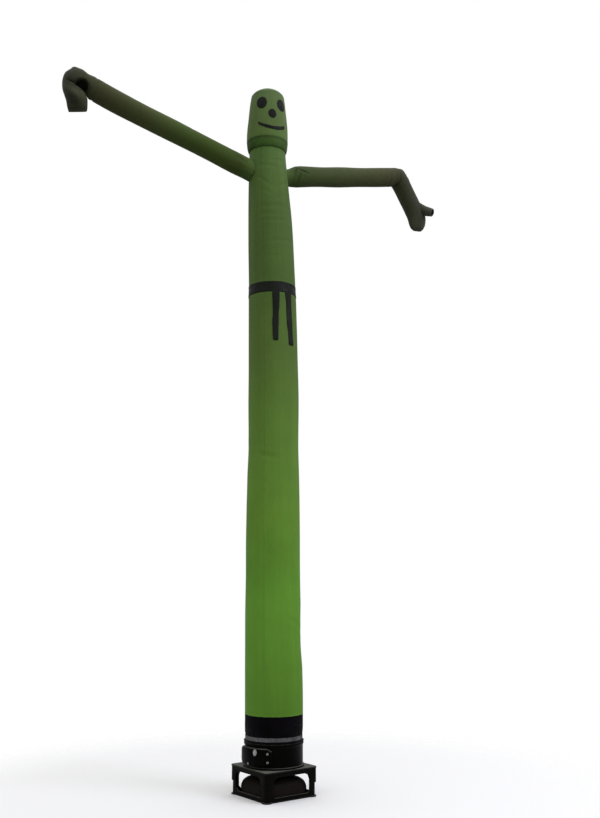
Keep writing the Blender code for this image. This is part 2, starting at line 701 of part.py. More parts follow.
def disc(name, radius, out, angle, low, high, sides=20):
    """An upright round block at a distance from the blower's axis."""
    a = math.radians(angle)
    middle = Vector((out * math.sin(a), -out * math.cos(a), 0.0))
    rings = []
    for z in (low, high):
        rings.append([p + middle for p in round_ring(radius, z, sides)])
    bm = loft(rings, close_start=True, close_end=True)[0]
    return keep(name, bm, BLACK_SHELL, cutter=True)


def pan_ring(z):
    """The pan's outline: the square of the base with a rounded ear at each corner."""
    ring = []
    for corner in range(4):
        for step in range(9):
            away = math.radians(-8.0 + 2.0 * step)
            reach = BASE_FOOT_SIDE / 2.0 / math.cos(math.radians(45.0) - abs(away))
            inside = EAR_RADIUS ** 2 - (EAR_OUT * math.sin(away)) ** 2
            if inside > 0.0:
                reach = max(reach, EAR_OUT * math.cos(away) + math.sqrt(inside))
            a = math.radians(BASE_TURN + 45.0 + 90.0 * corner) + away
            ring.append(Vector((reach * math.cos(a), reach * math.sin(a), z)))
    return ring


pan_bm = loft([pan_ring(0.0), pan_ring(PAN_THICK)], close_start=True, close_end=True)[0]
base_pan = keep("base_pan", pan_bm, BLACK_SHELL)
for number in range(4):
    angle = BASE_TURN + 45.0 + 90.0 * number
    cut(base_pan, disc(f"ear_hole_{number}", EAR_HOLE, EAR_OUT + 0.022, angle, -0.01, 0.02, 10))
base_pan.data.shade_flat()

# The rounded cover over the motor, seen through the arches. radius is half its width.
MOTOR_COVER = [
    dict(radius=0.214, z=PAN_THICK + SEWN_GAP),
    dict(radius=0.216, z=0.036),
    dict(radius=0.214, z=0.072),
    dict(radius=0.203, z=0.104),
    dict(radius=0.178, z=0.128),
    dict(radius=0.130, z=0.146),
    dict(radius=0.070, z=0.156),
]
COVER_SIDES = 36
COVER_SQUARE = 4.0        # 2 would be a circle, more is squarer


def cover_ring(radius, z):
    """The cover's outline: a rounded square that stands as the base does."""
    ring = []
    for k in range(COVER_SIDES):
        a = 2.0 * math.pi * k / COVER_SIDES
        away = a - math.radians(BASE_TURN)
        spread = abs(math.cos(away)) ** COVER_SQUARE + abs(math.sin(away)) ** COVER_SQUARE
        reach = radius / spread ** (1.0 / COVER_SQUARE)
        ring.append(Vector((reach * math.sin(a), -reach * math.cos(a), z)))
    return ring


cover_rings = [cover_ring(row["radius"], row["z"]) for row in MOTOR_COVER]
cover_bm = loft(cover_rings, close_start=True, close_end=True)[0]
keep("motor_cover", cover_bm, dict(colour=(0.030, 0.020, 0.024), roughness=0.6))

base_plate = keep("base_plate", block(PLATE_SIDE, 0.026, PLATE_LOW, PLATE_HIGH), BLACK_SHELL)
hole_rings = [round_ring(NECK_RADIUS - DRUM_WALL, z) for z in (PLATE_LOW - 0.01, PLATE_HIGH + 0.01)]
hole_bm = loft(hole_rings, close_start=True, close_end=True)[0]
cut(base_plate, keep("plate_hole", hole_bm, BLACK_SHELL, cutter=True))
base_plate.data.shade_flat()


# The control box on the drum, with its switch and cover screws
def box_outline(inset):
    """Angle and height pairs round the curved cover, its corners cut off, drawn in by inset."""
    first = BOX_ANGLES[0] + math.degrees(inset / DRUM_RADIUS)
    last = BOX_ANGLES[1] - math.degrees(inset / DRUM_RADIUS)
    low = BOX_LOW + inset
    high = BOX_HIGH - inset
    turn = 360.0 / TUBE_SIDES
    count = round((BOX_ANGLES[1] - BOX_ANGLES[0]) / turn)
    angles = [BOX_ANGLES[0] + turn * step for step in range(count + 1)]
    angles[0] = first
    angles[-1] = last
    lows = [low + BOX_CORNER] + [low] * 8 + [low + BOX_CORNER]
    highs = [high - BOX_CORNER] + [high] * 8 + [high - BOX_CORNER]
    return list(zip(angles, lows, highs))


def on_drum(angle, radius, z):
    """A point about the blower's axis."""
    a = math.radians(angle)
    return Vector((radius * math.sin(a), -radius * math.cos(a), z))


box_layers = [
    (0.0, DRUM_RADIUS + SEWN_GAP),
    (0.0, DRUM_RADIUS + BOX_PROUD - 0.007),
    (0.007, DRUM_RADIUS + BOX_PROUD),
]
bm = bmesh.new()
layers = []
for inset, radius in box_layers:
    outline = box_outline(inset)
    low_row = [bm.verts.new(on_drum(angle, radius, low)) for angle, low, high in outline]
    high_row = [bm.verts.new(on_drum(angle, radius, high)) for angle, low, high in outline]
    layers.append((low_row, high_row))
for low_row, high_row in (layers[0], layers[-1]):
    for k in range(9):
        bm.faces.new((low_row[k], low_row[k + 1], high_row[k + 1], high_row[k]))
for first_layer, second_layer in zip(layers, layers[1:]):
    first_ring = first_layer[0] + first_layer[1][::-1]
    second_ring = second_layer[0] + second_layer[1][::-1]
    bridge(bm, first_ring, second_ring)
keep("control_box", bm, BLACK_SHELL, smooth=False)


def stud(name, angle, z, radius, length, look, sides=12, tall=1.0):
    """A short round or oval piece standing on the control box."""
    turn = 360.0 / TUBE_SIDES
    face = BOX_ANGLES[0] + turn * (math.floor((angle - BOX_ANGLES[0]) / turn) + 0.5)
    flat = (DRUM_RADIUS + BOX_PROUD) * math.cos(math.radians(turn / 2.0))
    base = flat + SEWN_GAP
    a = math.radians(face)
    out = Vector((math.sin(a), -math.cos(a), 0.0))
    side = Vector((math.cos(a), math.sin(a), 0.0))
    aside = side * (flat * math.tan(math.radians(angle - face)))
    rings = []
    for distance, size in ((0.0, 1.0), (length * 0.6, 1.0), (length, 0.75)):
        middle = out * (base + distance) + aside + Vector((0.0, 0.0, z))
        ring = []
        for k in range(sides):
            b = 2.0 * math.pi * k / sides
            lift = Vector((0.0, 0.0, radius * tall * size * math.sin(b)))
            ring.append(middle + side * (radius * size * math.cos(b)) + lift)
        rings.append(ring)
    return keep(name, loft(rings, close_start=True, close_end=True)[0], look)


STEEL = dict(colour=(0.50, 0.50, 0.50), roughness=0.35, metallic=0.9)
for number, screw in enumerate(SCREWS):
    stud(f"cover_screw_{number + 1}", screw["angle"], screw["z"], 0.0095, 0.005, STEEL)
GREY_PLASTIC = dict(colour=(0.30, 0.30, 0.30), roughness=0.4)
stud("control_switch", -49.5, 0.348, 0.015, 0.012, GREY_PLASTIC, sides=16, tall=1.6)
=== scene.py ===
# %% [markdown]
# # A tube dancer on its fan blower
#
# A tube dancer is a tall sleeve of thin coated nylon. A fan in a low plastic housing
# blows into its foot, and the air holds the sleeve, the head and the two long arms up.
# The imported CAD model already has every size. This notebook loads it as a fixed frame and
# gives each piece the surface that the real one has: taut cloth with seams, gathers and
# creases above, moulded plastic below.

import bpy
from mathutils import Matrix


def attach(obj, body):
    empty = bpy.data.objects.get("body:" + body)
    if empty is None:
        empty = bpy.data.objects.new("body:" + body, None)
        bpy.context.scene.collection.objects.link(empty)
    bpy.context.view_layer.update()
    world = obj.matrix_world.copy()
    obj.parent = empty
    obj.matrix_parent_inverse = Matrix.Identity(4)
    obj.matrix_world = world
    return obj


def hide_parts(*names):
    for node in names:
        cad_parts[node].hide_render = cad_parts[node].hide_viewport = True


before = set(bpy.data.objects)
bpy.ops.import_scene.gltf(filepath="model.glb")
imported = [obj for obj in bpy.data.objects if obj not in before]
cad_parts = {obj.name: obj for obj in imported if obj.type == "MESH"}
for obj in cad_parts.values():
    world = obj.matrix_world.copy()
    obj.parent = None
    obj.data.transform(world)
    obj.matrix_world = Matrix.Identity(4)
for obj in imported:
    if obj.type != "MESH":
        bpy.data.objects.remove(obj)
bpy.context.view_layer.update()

# %% [markdown]
# Everything below needs only Blender's own modules and numpy. numpy works out whole rows
# of points at once, which keeps the formulas short.

# %% Modules
import math

import bmesh
import bpy
import numpy as np
from mathutils import Matrix, Vector
from mathutils.bvhtree import BVHTree

scene = bpy.context.scene
print("Blender", bpy.app.version_string)

# %% [markdown]
# ## Camera
#
# The picture is taken by someone standing about eight metres away with the camera at eye
# height, tipped up ten degrees. The lens gives the same perspective: 950 pixels of focal
# length in a frame that is 818 pixels tall.

# %% Camera
EYE = (-2.008, -7.499, 1.664)
LOOK_UP = 10.0
LOOK_TURN = -16.5
FOCAL_PIXELS = 950.0
FRAME_TALL = 818.0

camera_data = bpy.data.cameras.new("camera")
camera_data.lens = camera_data.sensor_width * FOCAL_PIXELS / FRAME_TALL
camera_data.clip_end = 200.0
camera = bpy.data.objects.new("camera", camera_data)
camera.location = EYE
camera.rotation_euler = (math.radians(90.0 + LOOK_UP), 0.0, math.radians(LOOK_TURN))
scene.collection.objects.link(camera)
scene.camera = camera
print(f"lens {camera_data.lens:.2f} mm")

# %% [markdown]
# ## Shared rules for the shapes
#
# The cloth is described by short tables, a row for each place where its section changes.
# A straight line between two rows would leave a visible corner in the shading, so the
# rows are joined by a monotone cubic: it is smooth, and it never swings past a row.


# %% A smooth line through table rows
def eased(stations, values, at):
    """Values at the places `at` on a smooth line through the rows, without overshoot."""
    stations = np.asarray(stations, float)
    values = np.asarray(values, float)
    step = np.diff(stations)
    slope = np.diff(values) / step
    lean = np.zeros_like(values)
    product = slope[:-1] * slope[1:]
    keep = product > 0.0
    lean[1:-1][keep] = 2.0 * product[keep] / (slope[:-1] + slope[1:])[keep]
    lean[0], lean[-1] = slope[0], slope[-1]
    at = np.asarray(at, float)
    k = np.clip(np.searchsorted(stations, at) - 1, 0, len(step) - 1)
    t = np.clip((at - stations[k]) / step[k], 0.0, 1.0)
    start = (2 * t**3 - 3 * t**2 + 1) * values[k] + (t**3 - 2 * t**2 + t) * step[k] * lean[k]
    end = (3 * t**2 - 2 * t**3) * values[k + 1] + (t**3 - t**2) * step[k] * lean[k + 1]
    return start + end


def column(rows, name):
    """One named column of a table."""
    return [row[name] for row in rows]


def at_height(rows, name, z):
    """One column of a table, at the heights z."""
    return eased(column(rows, "z"), column(rows, name), z)


def wrapped(degrees):
    """The same angles, between -180 and 180."""
    return (degrees + 180.0) % 360.0 - 180.0


def round_points(x, y, radius, angle, z):
    """Points on rings round an upright axis at x and y. Angle 0 is the front."""
    turned = np.radians(angle)
    return np.stack([x + radius * np.sin(turned), y - radius * np.cos(turned), z], axis=-1)


print("halfway between 0, 1, 1:", float(eased([0, 1, 2], [0, 1, 1], 0.5)))

# %% [markdown]
# Folds, creases and gathers are small soft bumps on those shapes. Three helpers make all
# of them. `swell` is one bump. `drift` adds a few long waves with fixed random directions,
# the unevenness of a bag of air. `creased` places single creases one by one, because real
# creases are never evenly spread. A row of a crease table has the crease's middle, u round
# the cloth and v along it, its turn in degrees, half its length, half its width and its
# depth. A ridge has a negative depth.


# %% Bumps, drift and creases
def swell(t):
    """A soft bump: 1 in the middle, 0 from -1 and +1 outwards."""
    return np.cos(np.clip(t, -1.0, 1.0) * np.pi / 2.0) ** 2


def drift(u, v, size, seed, waves=7):
    """Smooth unevenness between about -1 and 1 whose bumps are about `size` metres."""
    rng = np.random.default_rng(seed)
    total = np.zeros(np.broadcast(u, v).shape)
    for _ in range(waves):
        way = rng.uniform(0.0, 2.0 * np.pi)
        pace = 2.0 * np.pi / (size * rng.uniform(1.4, 3.0))
        start = rng.uniform(0.0, 2.0 * np.pi)
        total += np.sin((u * np.cos(way) + v * np.sin(way)) * pace + start)
    return total / waves * 1.6


def creased(u, v, creases, around):
    """Depth of listed creases at u round the cloth and v along it, in metres."""
    total = np.zeros(np.broadcast(u, v).shape)
    for middle_u, middle_v, degrees, half, wide, depth in creases:
        du = (u - middle_u + around / 2.0) % around - around / 2.0
        dv = v - middle_v
        turn = math.radians(degrees)
        along = (du * math.cos(turn) + dv * math.sin(turn)) / half
        across = (dv * math.cos(turn) - du * math.sin(turn)) / wide
        trough = swell(across) - 0.4 * swell(across - 1.2) - 0.3 * swell(across + 1.2)
        total += depth * swell(along) * trough
    return total


print("drift runs from", np.round(drift(np.linspace(0, 9, 400), 0.0, 0.3, 1).min(), 2))

# %% [markdown]
# ## Turning points into pieces
#
# Every sheet of cloth is a grid of points: columns run round the piece or across it, rows
# run along it. The grid becomes a mesh with a UV map in metres of flat cloth, so a weave
# in the material has its true size and follows the cloth. An attribute called `shade`
# makes the cloth darker or lighter: along seams and hems, and as painted shade in creases,
# folds and hollows and under the head, with painted highlights on raised edges. Solidify
# gives the sheet its thickness.


# %% Mesh from a grid
def grid_mesh(name, grid, closed=True, pole=None, uv=None, shade=None):
    """A mesh from rows of points. closed joins the columns round; pole closes the last row."""
    rows, columns = grid.shape[:2]
    points = grid.reshape(-1, 3).tolist()
    spans = columns if closed else columns - 1
    if uv is None:
        ring = np.linalg.norm(np.diff(grid, axis=1, append=grid[:, :1]), axis=2)
        across = np.concatenate([[0.0], np.cumsum(ring.mean(axis=0))])
        steps = np.linalg.norm(np.diff(grid, axis=0), axis=2).mean(axis=1)
        along = np.concatenate([[0.0], np.cumsum(steps)])
        uv = np.stack(np.meshgrid(across, along), axis=2)
    elif closed:
        uv = np.concatenate([uv, uv[:, :1]], axis=1)
    faces = []
    corners = []
    for i in range(rows - 1):
        for j in range(spans):
            k = (j + 1) % columns
            low, high = i * columns, (i + 1) * columns
            faces.append((low + j, low + k, high + k, high + j))
            corners += [uv[i, j], uv[i, j + 1], uv[i + 1, j + 1], uv[i + 1, j]]
    if pole is not None:
        points.append(list(pole))
        last = (rows - 1) * columns
        for j in range(spans):
            faces.append((last + j, last + (j + 1) % columns, len(points) - 1))
            top = (uv[-1, j] + uv[-1, j + 1]) / 2.0
            corners += [uv[-1, j], uv[-1, j + 1], top]
    mesh = bpy.data.meshes.new(name)
    mesh.from_pydata(points, [], faces)
    layer = mesh.uv_layers.new(name="cloth")
    layer.data.foreach_set("uv", np.asarray(corners, np.float32)[:, :2].ravel())
    values = np.zeros(len(points), np.float32)
    if shade is not None:
        values[: rows * columns] = np.broadcast_to(shade, (rows, columns)).ravel()
    mesh.attributes.new("shade", "FLOAT", "POINT").data.foreach_set("value", values)
    return mesh


def face_outwards(mesh):
    """Turns the faces of a tube or shell so that its volume is positive."""
    bm = bmesh.new()
    bm.from_mesh(mesh)
    bmesh.ops.recalc_face_normals(bm, faces=bm.faces)
    centre = sum((v.co for v in bm.verts), Vector()) / len(bm.verts)
    volume = sum((f.calc_center_median() - centre).dot(f.normal) * f.calc_area() for f in bm.faces)
    if volume < 0.0:
        bmesh.ops.reverse_faces(bm, faces=bm.faces)
    bm.to_mesh(mesh)
    bm.free()


def face_front(mesh):
    """Turns the faces of a flat piece so that they look to the front."""
    if sum(face.normal.y * face.area for face in mesh.polygons) > 0.0:
        mesh.flip_normals()


# %% [markdown]
# A finished piece rides on the imported model's one body, hides the CAD node it stands
# for, and is smooth shaded.


# %% Pieces that ride on the frame
NYLON_THICK = 0.0010
PATCH_THICK = 0.0014
HEM_THICK = 0.0012


def settle(piece, nodes=()):
    """Puts a finished piece on the body and hides the nodes it stands for."""
    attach(piece, "root")
    if nodes:
        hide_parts(*nodes)
    return piece


def add_object(name, mesh, material):
    """An object for a mesh, with its material."""
    made = bpy.data.objects.new(name, mesh)
    scene.collection.objects.link(made)
    mesh.materials.clear()
    mesh.materials.append(material)
    return made


def sheet_piece(name, mesh, material, node, thick, outside=False):
    """A sheet of cloth with its thickness, riding on the body in place of its node."""
    mesh.shade_smooth()
    made = add_object(name, mesh, material)
    wall = made.modifiers.new("thickness", "SOLIDIFY")
    wall.thickness = thick
    wall.offset = 1.0 if outside else -1.0
    wall.use_even_offset = True
    settle(made, [node])
    print(f"{name}: {len(mesh.polygons)} faces, {thick * 1000:.1f} mm thick")
    return made


def cut_size(rings):
    """Flat width, length and area of the cloth for a tube of these rings of points."""
    round_it = np.linalg.norm(np.diff(rings, axis=1, append=rings[:, :1]), axis=2).sum(axis=1)
    along = np.linalg.norm(np.diff(rings, axis=0), axis=2).mean(axis=1)
    area = float((along * (round_it[1:] + round_it[:-1]) / 2.0).sum())
    return (float(round_it.max()), float(along.sum())), area


# %% [markdown]
# ## Materials
#
# All the materials are node trees on a Principled shader. A few helpers keep them
# readable: `node` adds one node and fills its inputs, and `Paint` holds the tree while a
# material is being put together.


# %% A helper for node trees
class Paint:
    """A material's node tree and the shader at its end."""

    def __init__(self, name, roughness, **fixed):
        self.material = bpy.data.materials.new(name)
        self.material.use_nodes = True
        self.tree = self.material.node_tree
        self.shader = self.tree.nodes["Principled BSDF"]
        self.shader.inputs["Roughness"].default_value = roughness
        for label, value in fixed.items():
            socket = label.replace("_", " ").title().replace("Ior", "IOR")
            self.shader.inputs[socket].default_value = value

    def node(self, kind, inputs=(), **settings):
        made = self.tree.nodes.new(kind)
        for name, value in settings.items():
            setattr(made, name, value)
        for key, value in dict(inputs).items():
            if isinstance(value, bpy.types.NodeSocket):
                self.tree.links.new(value, made.inputs[key])
            else:
                made.inputs[key].default_value = value
        return made

    def math(self, operation, a, b=0.0, c=0.0):
        return self.node("ShaderNodeMath", {0: a, 1: b, 2: c}, operation=operation).outputs[0]

    def noise(self, vector, scale, detail=3.0, roughness=0.5):
        made = self.node(
            "ShaderNodeTexNoise",
            {"Vector": vector, "Scale": scale, "Detail": detail, "Roughness": roughness},
        )
        return made.outputs["Fac"]

    def stretched(self, vector, scale):
        return self.node("ShaderNodeMapping", {"Vector": vector, "Scale": scale}).outputs[0]

    def span(self, value, low, high, new_low, new_high):
        inputs = {0: value, 1: low, 2: high, 3: new_low, 4: new_high}
        return self.node("ShaderNodeMapRange", inputs, interpolation_type="SMOOTHSTEP").outputs[0]

    def ramp(self, value, stops):
        made = self.node("ShaderNodeValToRGB", {0: value})
        line = made.color_ramp
        for place, colour in stops[1:-1]:
            line.elements.new(place).color = (*colour, 1.0)
        for end in (0, -1):
            line.elements[end].position = stops[end][0]
            line.elements[end].color = (*stops[end][1], 1.0)
        return made.outputs[0]

    def steady(self, colour):
        made = self.node("ShaderNodeRGB")
        made.outputs[0].default_value = (*colour, 1.0)
        return made.outputs[0]

    def place(self, kind="Object"):
        return self.node("ShaderNodeTexCoord").outputs[kind]

    def brighten(self, colour, factor):
        scaled = self.node("ShaderNodeVectorMath", {0: colour, "Scale": factor}, operation="SCALE")
        return scaled.outputs[0]

    def mix(self, factor, a, b):
        made = self.node("ShaderNodeMix", {"Factor": factor}, data_type="RGBA")
        for key, value in ((6, a), (7, b)):
            if isinstance(value, bpy.types.NodeSocket):
                self.tree.links.new(value, made.inputs[key])
            else:
                made.inputs[key].default_value = (*value, 1.0)
        return made.outputs[2]

    def finish(self, colour, height, relief, roughness=None):
        self.tree.links.new(colour, self.shader.inputs["Base Color"])
        bump = self.node("ShaderNodeBump", {"Height": height, "Distance": relief, "Strength": 1.0})
        self.tree.links.new(bump.outputs[0], self.shader.inputs["Normal"])
        if roughness is not None:
            self.tree.links.new(roughness, self.shader.inputs["Roughness"])
        return self.material


# %% [markdown]
# The nylon is woven with a thicker thread every few millimetres, both ways, which stops
# tears from running. Seen close, that grid and the fine weave stand out; seen from afar,
# what counts is how the green changes: bright and yellowish low down, duller and greyer
# higher up, with faint streaks along the tube. That change by height is partly the cloth's
# own colour and partly painted light and shade.


# %% Green nylon
RIPSTOP_PITCH = 0.006
RIPSTOP_THREAD = 0.0006


def nylon(name, axis, stops, streak, roughness=0.66, sheen=0.03):
    """Ripstop nylon whose colour follows one axis of the object through the stops."""
    paint = Paint(name, roughness, sheen_weight=sheen, sheen_roughness=0.45, specular_ior_level=0.10)
    place, uv = paint.place(), paint.place("UV")
    split = paint.node("ShaderNodeSeparateXYZ", {0: place})
    low, high = stops[0][0], stops[-1][0]
    share = [((at - low) / (high - low), colour) for at, colour in stops]
    where = paint.node("ShaderNodeMapRange", {0: split.outputs[axis], 1: low, 2: high})
    colour = paint.ramp(where.outputs[0], share)

    patches = paint.span(paint.noise(place, 1.6), 0.3, 0.7, 0.90, 1.10)
    streaks = paint.noise(paint.stretched(uv, streak), 1.0, detail=4.0)
    streaks = paint.span(streaks, 0.3, 0.7, 0.96, 1.04)
    shade = paint.node("ShaderNodeAttribute", attribute_name="shade").outputs["Fac"]
    light = paint.math("MULTIPLY", patches, streaks)
    light = paint.math("MULTIPLY", light, paint.math("SUBTRACT", 1.0, shade))
    colour = paint.brighten(colour, light)

    flat = paint.node("ShaderNodeSeparateXYZ", {0: uv})
    threads = []
    for key in ("X", "Y"):
        saw = paint.math("PINGPONG", flat.outputs[key], RIPSTOP_PITCH / 2.0)
        threads.append(paint.span(saw, 0.0, RIPSTOP_THREAD, 1.0, 0.0))
    grid = paint.math("MAXIMUM", *threads)
    weave = paint.noise(paint.stretched(uv, (900.0, 900.0, 1.0)), 1.0, detail=1.0)
    puckers = paint.noise(uv, 26.0, detail=3.0)
    height = paint.math("ADD", paint.math("MULTIPLY", grid, 0.10), paint.math("MULTIPLY", weave, 0.08))
    height = paint.math("ADD", height, puckers)
    return paint.finish(colour, height, 0.0016)


# The tube's and the head's green by height, and the arms' green by the distance across.
# The stops mix the cloth's own green with painted light and shade, set place by place;
# the last arm stop is lighter to offset the shade on the bent hand's thumb.
TUBE_GREENS = [
    (0.60, (0.084, 0.200, 0.018)),
    (0.90, (0.109, 0.262, 0.025)),
    (1.60, (0.124, 0.302, 0.031)),
    (2.10, (0.128, 0.272, 0.031)),
    (2.60, (0.136, 0.272, 0.038)),
    (3.10, (0.118, 0.220, 0.037)),
    (3.50, (0.106, 0.182, 0.035)),
    (4.20, (0.093, 0.169, 0.036)),
    (5.00, (0.093, 0.164, 0.036)),
    (5.24, (0.098, 0.180, 0.044)),
    (5.33, (0.088, 0.188, 0.031)),
    (5.42, (0.120, 0.199, 0.051)),
    (5.52, (0.113, 0.174, 0.048)),
    (5.68, (0.126, 0.203, 0.062)),
    (5.90, (0.134, 0.200, 0.080)),
]
ARM_GREENS = [
    (-1.80, (0.052, 0.054, 0.034)),
    (-1.62, (0.062, 0.066, 0.030)),
    (-1.47, (0.069, 0.075, 0.028)),
    (-1.12, (0.077, 0.096, 0.029)),
    (-0.80, (0.074, 0.116, 0.024)),
    (-0.54, (0.070, 0.112, 0.018)),
    (-0.34, (0.060, 0.090, 0.018)),
    (-0.22, (0.080, 0.140, 0.030)),
    (0.08, (0.084, 0.150, 0.032)),
    (0.17, (0.052, 0.086, 0.018)),
    (0.45, (0.060, 0.080, 0.023)),
    (0.68, (0.067, 0.084, 0.029)),
    (1.11, (0.068, 0.073, 0.026)),
    (1.24, (0.060, 0.064, 0.026)),
    (1.36, (0.047, 0.049, 0.025)),
    (1.52, (0.045, 0.046, 0.026)),
    (1.61, (0.078, 0.081, 0.056)),
]
green_nylon = nylon("green_nylon", "Z", TUBE_GREENS, (14.0, 0.7, 1.0))
arm_nylon = nylon("arm_nylon", "X", ARM_GREENS, (10.0, 0.8, 1.0), sheen=0.10)
print("made", green_nylon.name, "and", arm_nylon.name)

# %% [markdown]
# The face, the belt and the cuff are black nylon of the same kind. Black coated cloth
# reflects the sky as a faint violet grey, so it gets a little coloured sheen. The tube's
# threads are the same green, a little lighter; the strap is grey webbing with the ribs of
# its weave running across it.


# %% Black nylon, thread and webbing
def black_cloth(name, colour, sheen, tint, crumple, gloss=0.10, patches=(0.75, 1.3)):
    """Black coated nylon with a faint coloured sheen and a soft crumple of its own."""
    paint = Paint(name, 0.55, sheen_weight=sheen, sheen_roughness=0.4, specular_ior_level=gloss)
    paint.shader.inputs["Sheen Tint"].default_value = (*tint, 1.0)
    place, uv = paint.place(), paint.place("UV")
    wide = paint.span(paint.noise(place, 6.0), 0.3, 0.7, *patches)
    shown = paint.brighten(paint.steady(colour), wide)
    weave = paint.noise(paint.stretched(uv, (900.0, 900.0, 1.0)), 1.0, detail=1.0)
    folds = paint.noise(uv, crumple, detail=3.0)
    height = paint.math("ADD", folds, paint.math("MULTIPLY", weave, 0.06))
    rough = paint.span(paint.noise(uv, 14.0), 0.3, 0.7, 0.42, 0.66)
    return paint.finish(shown, height, 0.002, rough)


black_nylon = black_cloth("black_nylon", (0.0115, 0.0140, 0.0100), 0.03, (0.85, 0.90, 1.0), 24.0)
# The cuff's wide patches are painted sheen: broad faint violet patches, lighter than its black.
cuff_nylon = black_cloth(
    "cuff_nylon", (0.0014, 0.0010, 0.0018), 0.0, (0.80, 0.70, 1.0), 18.0, gloss=0.03, patches=(0.4, 1.8)
)


def thread(name, colour):
    """Sewing thread: twisted, with painted shade in a fine ripple along the twist."""
    paint = Paint(name, 0.6)
    twist = paint.noise(paint.place(), 600.0, detail=1.0)
    shade = paint.brighten(paint.steady(colour), paint.span(twist, 0.3, 0.7, 0.8, 1.2))
    return paint.finish(shade, twist, 0.0002)


green_thread = thread("green_thread", (0.120, 0.230, 0.060))
black_thread = thread("black_thread", (0.020, 0.020, 0.024))


def webbing():
    """Grey polyester webbing with ribs across it."""
    paint = Paint("webbing", 0.7, specular_ior_level=0.2)
    flat = paint.node("ShaderNodeSeparateXYZ", {0: paint.place("UV")})
    rib = paint.math("SINE", paint.math("MULTIPLY", flat.outputs["X"], 2.0 * math.pi / 0.0022))
    cross = paint.math("SINE", paint.math("MULTIPLY", flat.outputs["Y"], 2.0 * math.pi / 0.0016))
    weave = paint.math("MULTIPLY", rib, cross)
    dirt = paint.noise(paint.place(), 18.0, detail=4.0)
    colour = paint.ramp(dirt, [(0.3, (0.048, 0.046, 0.047)), (0.7, (0.135, 0.130, 0.130))])
    # Painted shade on the weave: the colour is darker between the ribs and lighter on them.
    colour = paint.brighten(colour, paint.span(weave, -1.0, 1.0, 0.8, 1.1))
    return paint.finish(colour, weave, 0.0005)


grey_webbing = webbing()
print("made the black cloths, threads and webbing")

# %% [markdown]
# The housing is moulded black plastic with a fine pebbled skin. It stands on the ground
# outdoors, so a little pale dust lies on what faces up; the same pale layer is also painted
# light, which makes the upward faces lighter as a bright sky would. The shader reads the
# surface's own normal for that, which stays true from every side.


# %% Plastics and metal
def plastic(name, colour, dust_and_top_light, roughness, gloss=0.10, pebble=0.0004):
    """Moulded plastic with a pebbled skin, dust and painted top light on its upper faces and soft scuffs."""
    paint = Paint(name, roughness, specular_ior_level=gloss)
    place = paint.place()
    normal = paint.node("ShaderNodeNewGeometry").outputs["Normal"]
    up = paint.node("ShaderNodeSeparateXYZ", {0: normal}).outputs["Z"]
    # Pale layer on upward faces: dust, and painted light on the tops.
    cover = paint.span(up, 0.35, 0.95, 0.0, dust_and_top_light)
    patchy = paint.span(paint.noise(place, 22.0, detail=5.0), 0.35, 0.65, 0.60, 1.0)
    cover = paint.math("MULTIPLY", cover, patchy)
    worn = paint.span(paint.noise(place, 7.0, detail=6.0, roughness=0.65), 0.52, 0.72, 0.0, 0.25)
    base = paint.mix(worn, colour, tuple(c * 2.2 + 0.002 for c in colour))
    shown = paint.mix(cover, base, (0.150, 0.150, 0.130))
    skin = paint.noise(place, 420.0, detail=2.0)
    rough = paint.math("ADD", roughness, paint.math("MULTIPLY", cover, 0.35))
    scuff = paint.span(paint.noise(place, 60.0, detail=4.0), 0.4, 0.7, 0.0, 0.10)
    return paint.finish(shown, skin, pebble, paint.math("ADD", rough, scuff))


black_shell = plastic("black_shell", (0.0020, 0.0018, 0.0012), 0.60, 0.40, 0.03)
# The plate's lighter colour and full pale top layer are partly painted light on its top.
plate_shell = plastic("plate_shell", (0.0090, 0.0090, 0.0070), 1.00, 0.42, 0.06)
drum_shell = plastic("drum_shell", (0.0007, 0.0006, 0.0003), 0.50, 0.32, 0.03)
motor_shell = plastic("motor_shell", (0.0080, 0.0055, 0.0050), 0.04, 0.60, 0.04)
switch_grey = plastic("switch_grey", (0.300, 0.300, 0.300), 0.10, 0.40)


def steel():
    """Zinc-plated steel, a little dull."""
    paint = Paint("zinc_steel", 0.35, metallic=1.0)
    spots = paint.noise(paint.place(), 160.0, detail=3.0)
    colour = paint.ramp(spots, [(0.35, (0.15, 0.15, 0.15)), (0.65, (0.30, 0.30, 0.29))])
    return paint.finish(colour, spots, 0.0002, paint.span(spots, 0.3, 0.7, 0.28, 0.45))


zinc_steel = steel()
print("made the plastics and the steel")

# %% [markdown]
# ## Stitches
#
# A seam is a row of small capsules of thread. Drawing each by hand would be endless, so a
# Geometry Nodes tree does it: it takes the seam's line, marks points on it at the stitch
# pitch, and sets one small lump of thread on each, turned along the line. The last nodes
# make the copies real and give them their thread, so the result is a plain mesh.


# %% The stitch tree
def new_tree(name, inputs):
    """An empty Geometry Nodes tree with named inputs, its input and its output node."""
    tree = bpy.data.node_groups.new(name, "GeometryNodeTree")
    for label, kind, default in inputs:
        made = tree.interface.new_socket(label, in_out="INPUT", socket_type=kind)
        if default is not None:
            made.default_value = default
    tree.interface.new_socket("Mesh", in_out="OUTPUT", socket_type="NodeSocketGeometry")
    return tree, tree.nodes.new("NodeGroupInput"), tree.nodes.new("NodeGroupOutput")


def add_node(tree, kind, links=(), **settings):
    """Adds a node, sets it up, and links or fills its inputs."""
    made = tree.nodes.new(kind)
    for name, value in settings.items():
        setattr(made, name, value)
    for key, value in dict(links).items():
        if isinstance(value, bpy.types.NodeSocket):
            tree.links.new(value, made.inputs[key])
        else:
            made.inputs[key].default_value = value
    return made


def end_tree(tree, made, material, end):
    """Ends a tree: makes the copies real and gives them their material."""
    real = add_node(tree, "GeometryNodeRealizeInstances", {0: made.outputs[0]})
    finish = {"Geometry": real.outputs[0], "Material": material}
    done = add_node(tree, "GeometryNodeSetMaterial", finish)
    tree.links.new(done.outputs[0], end.inputs[0])


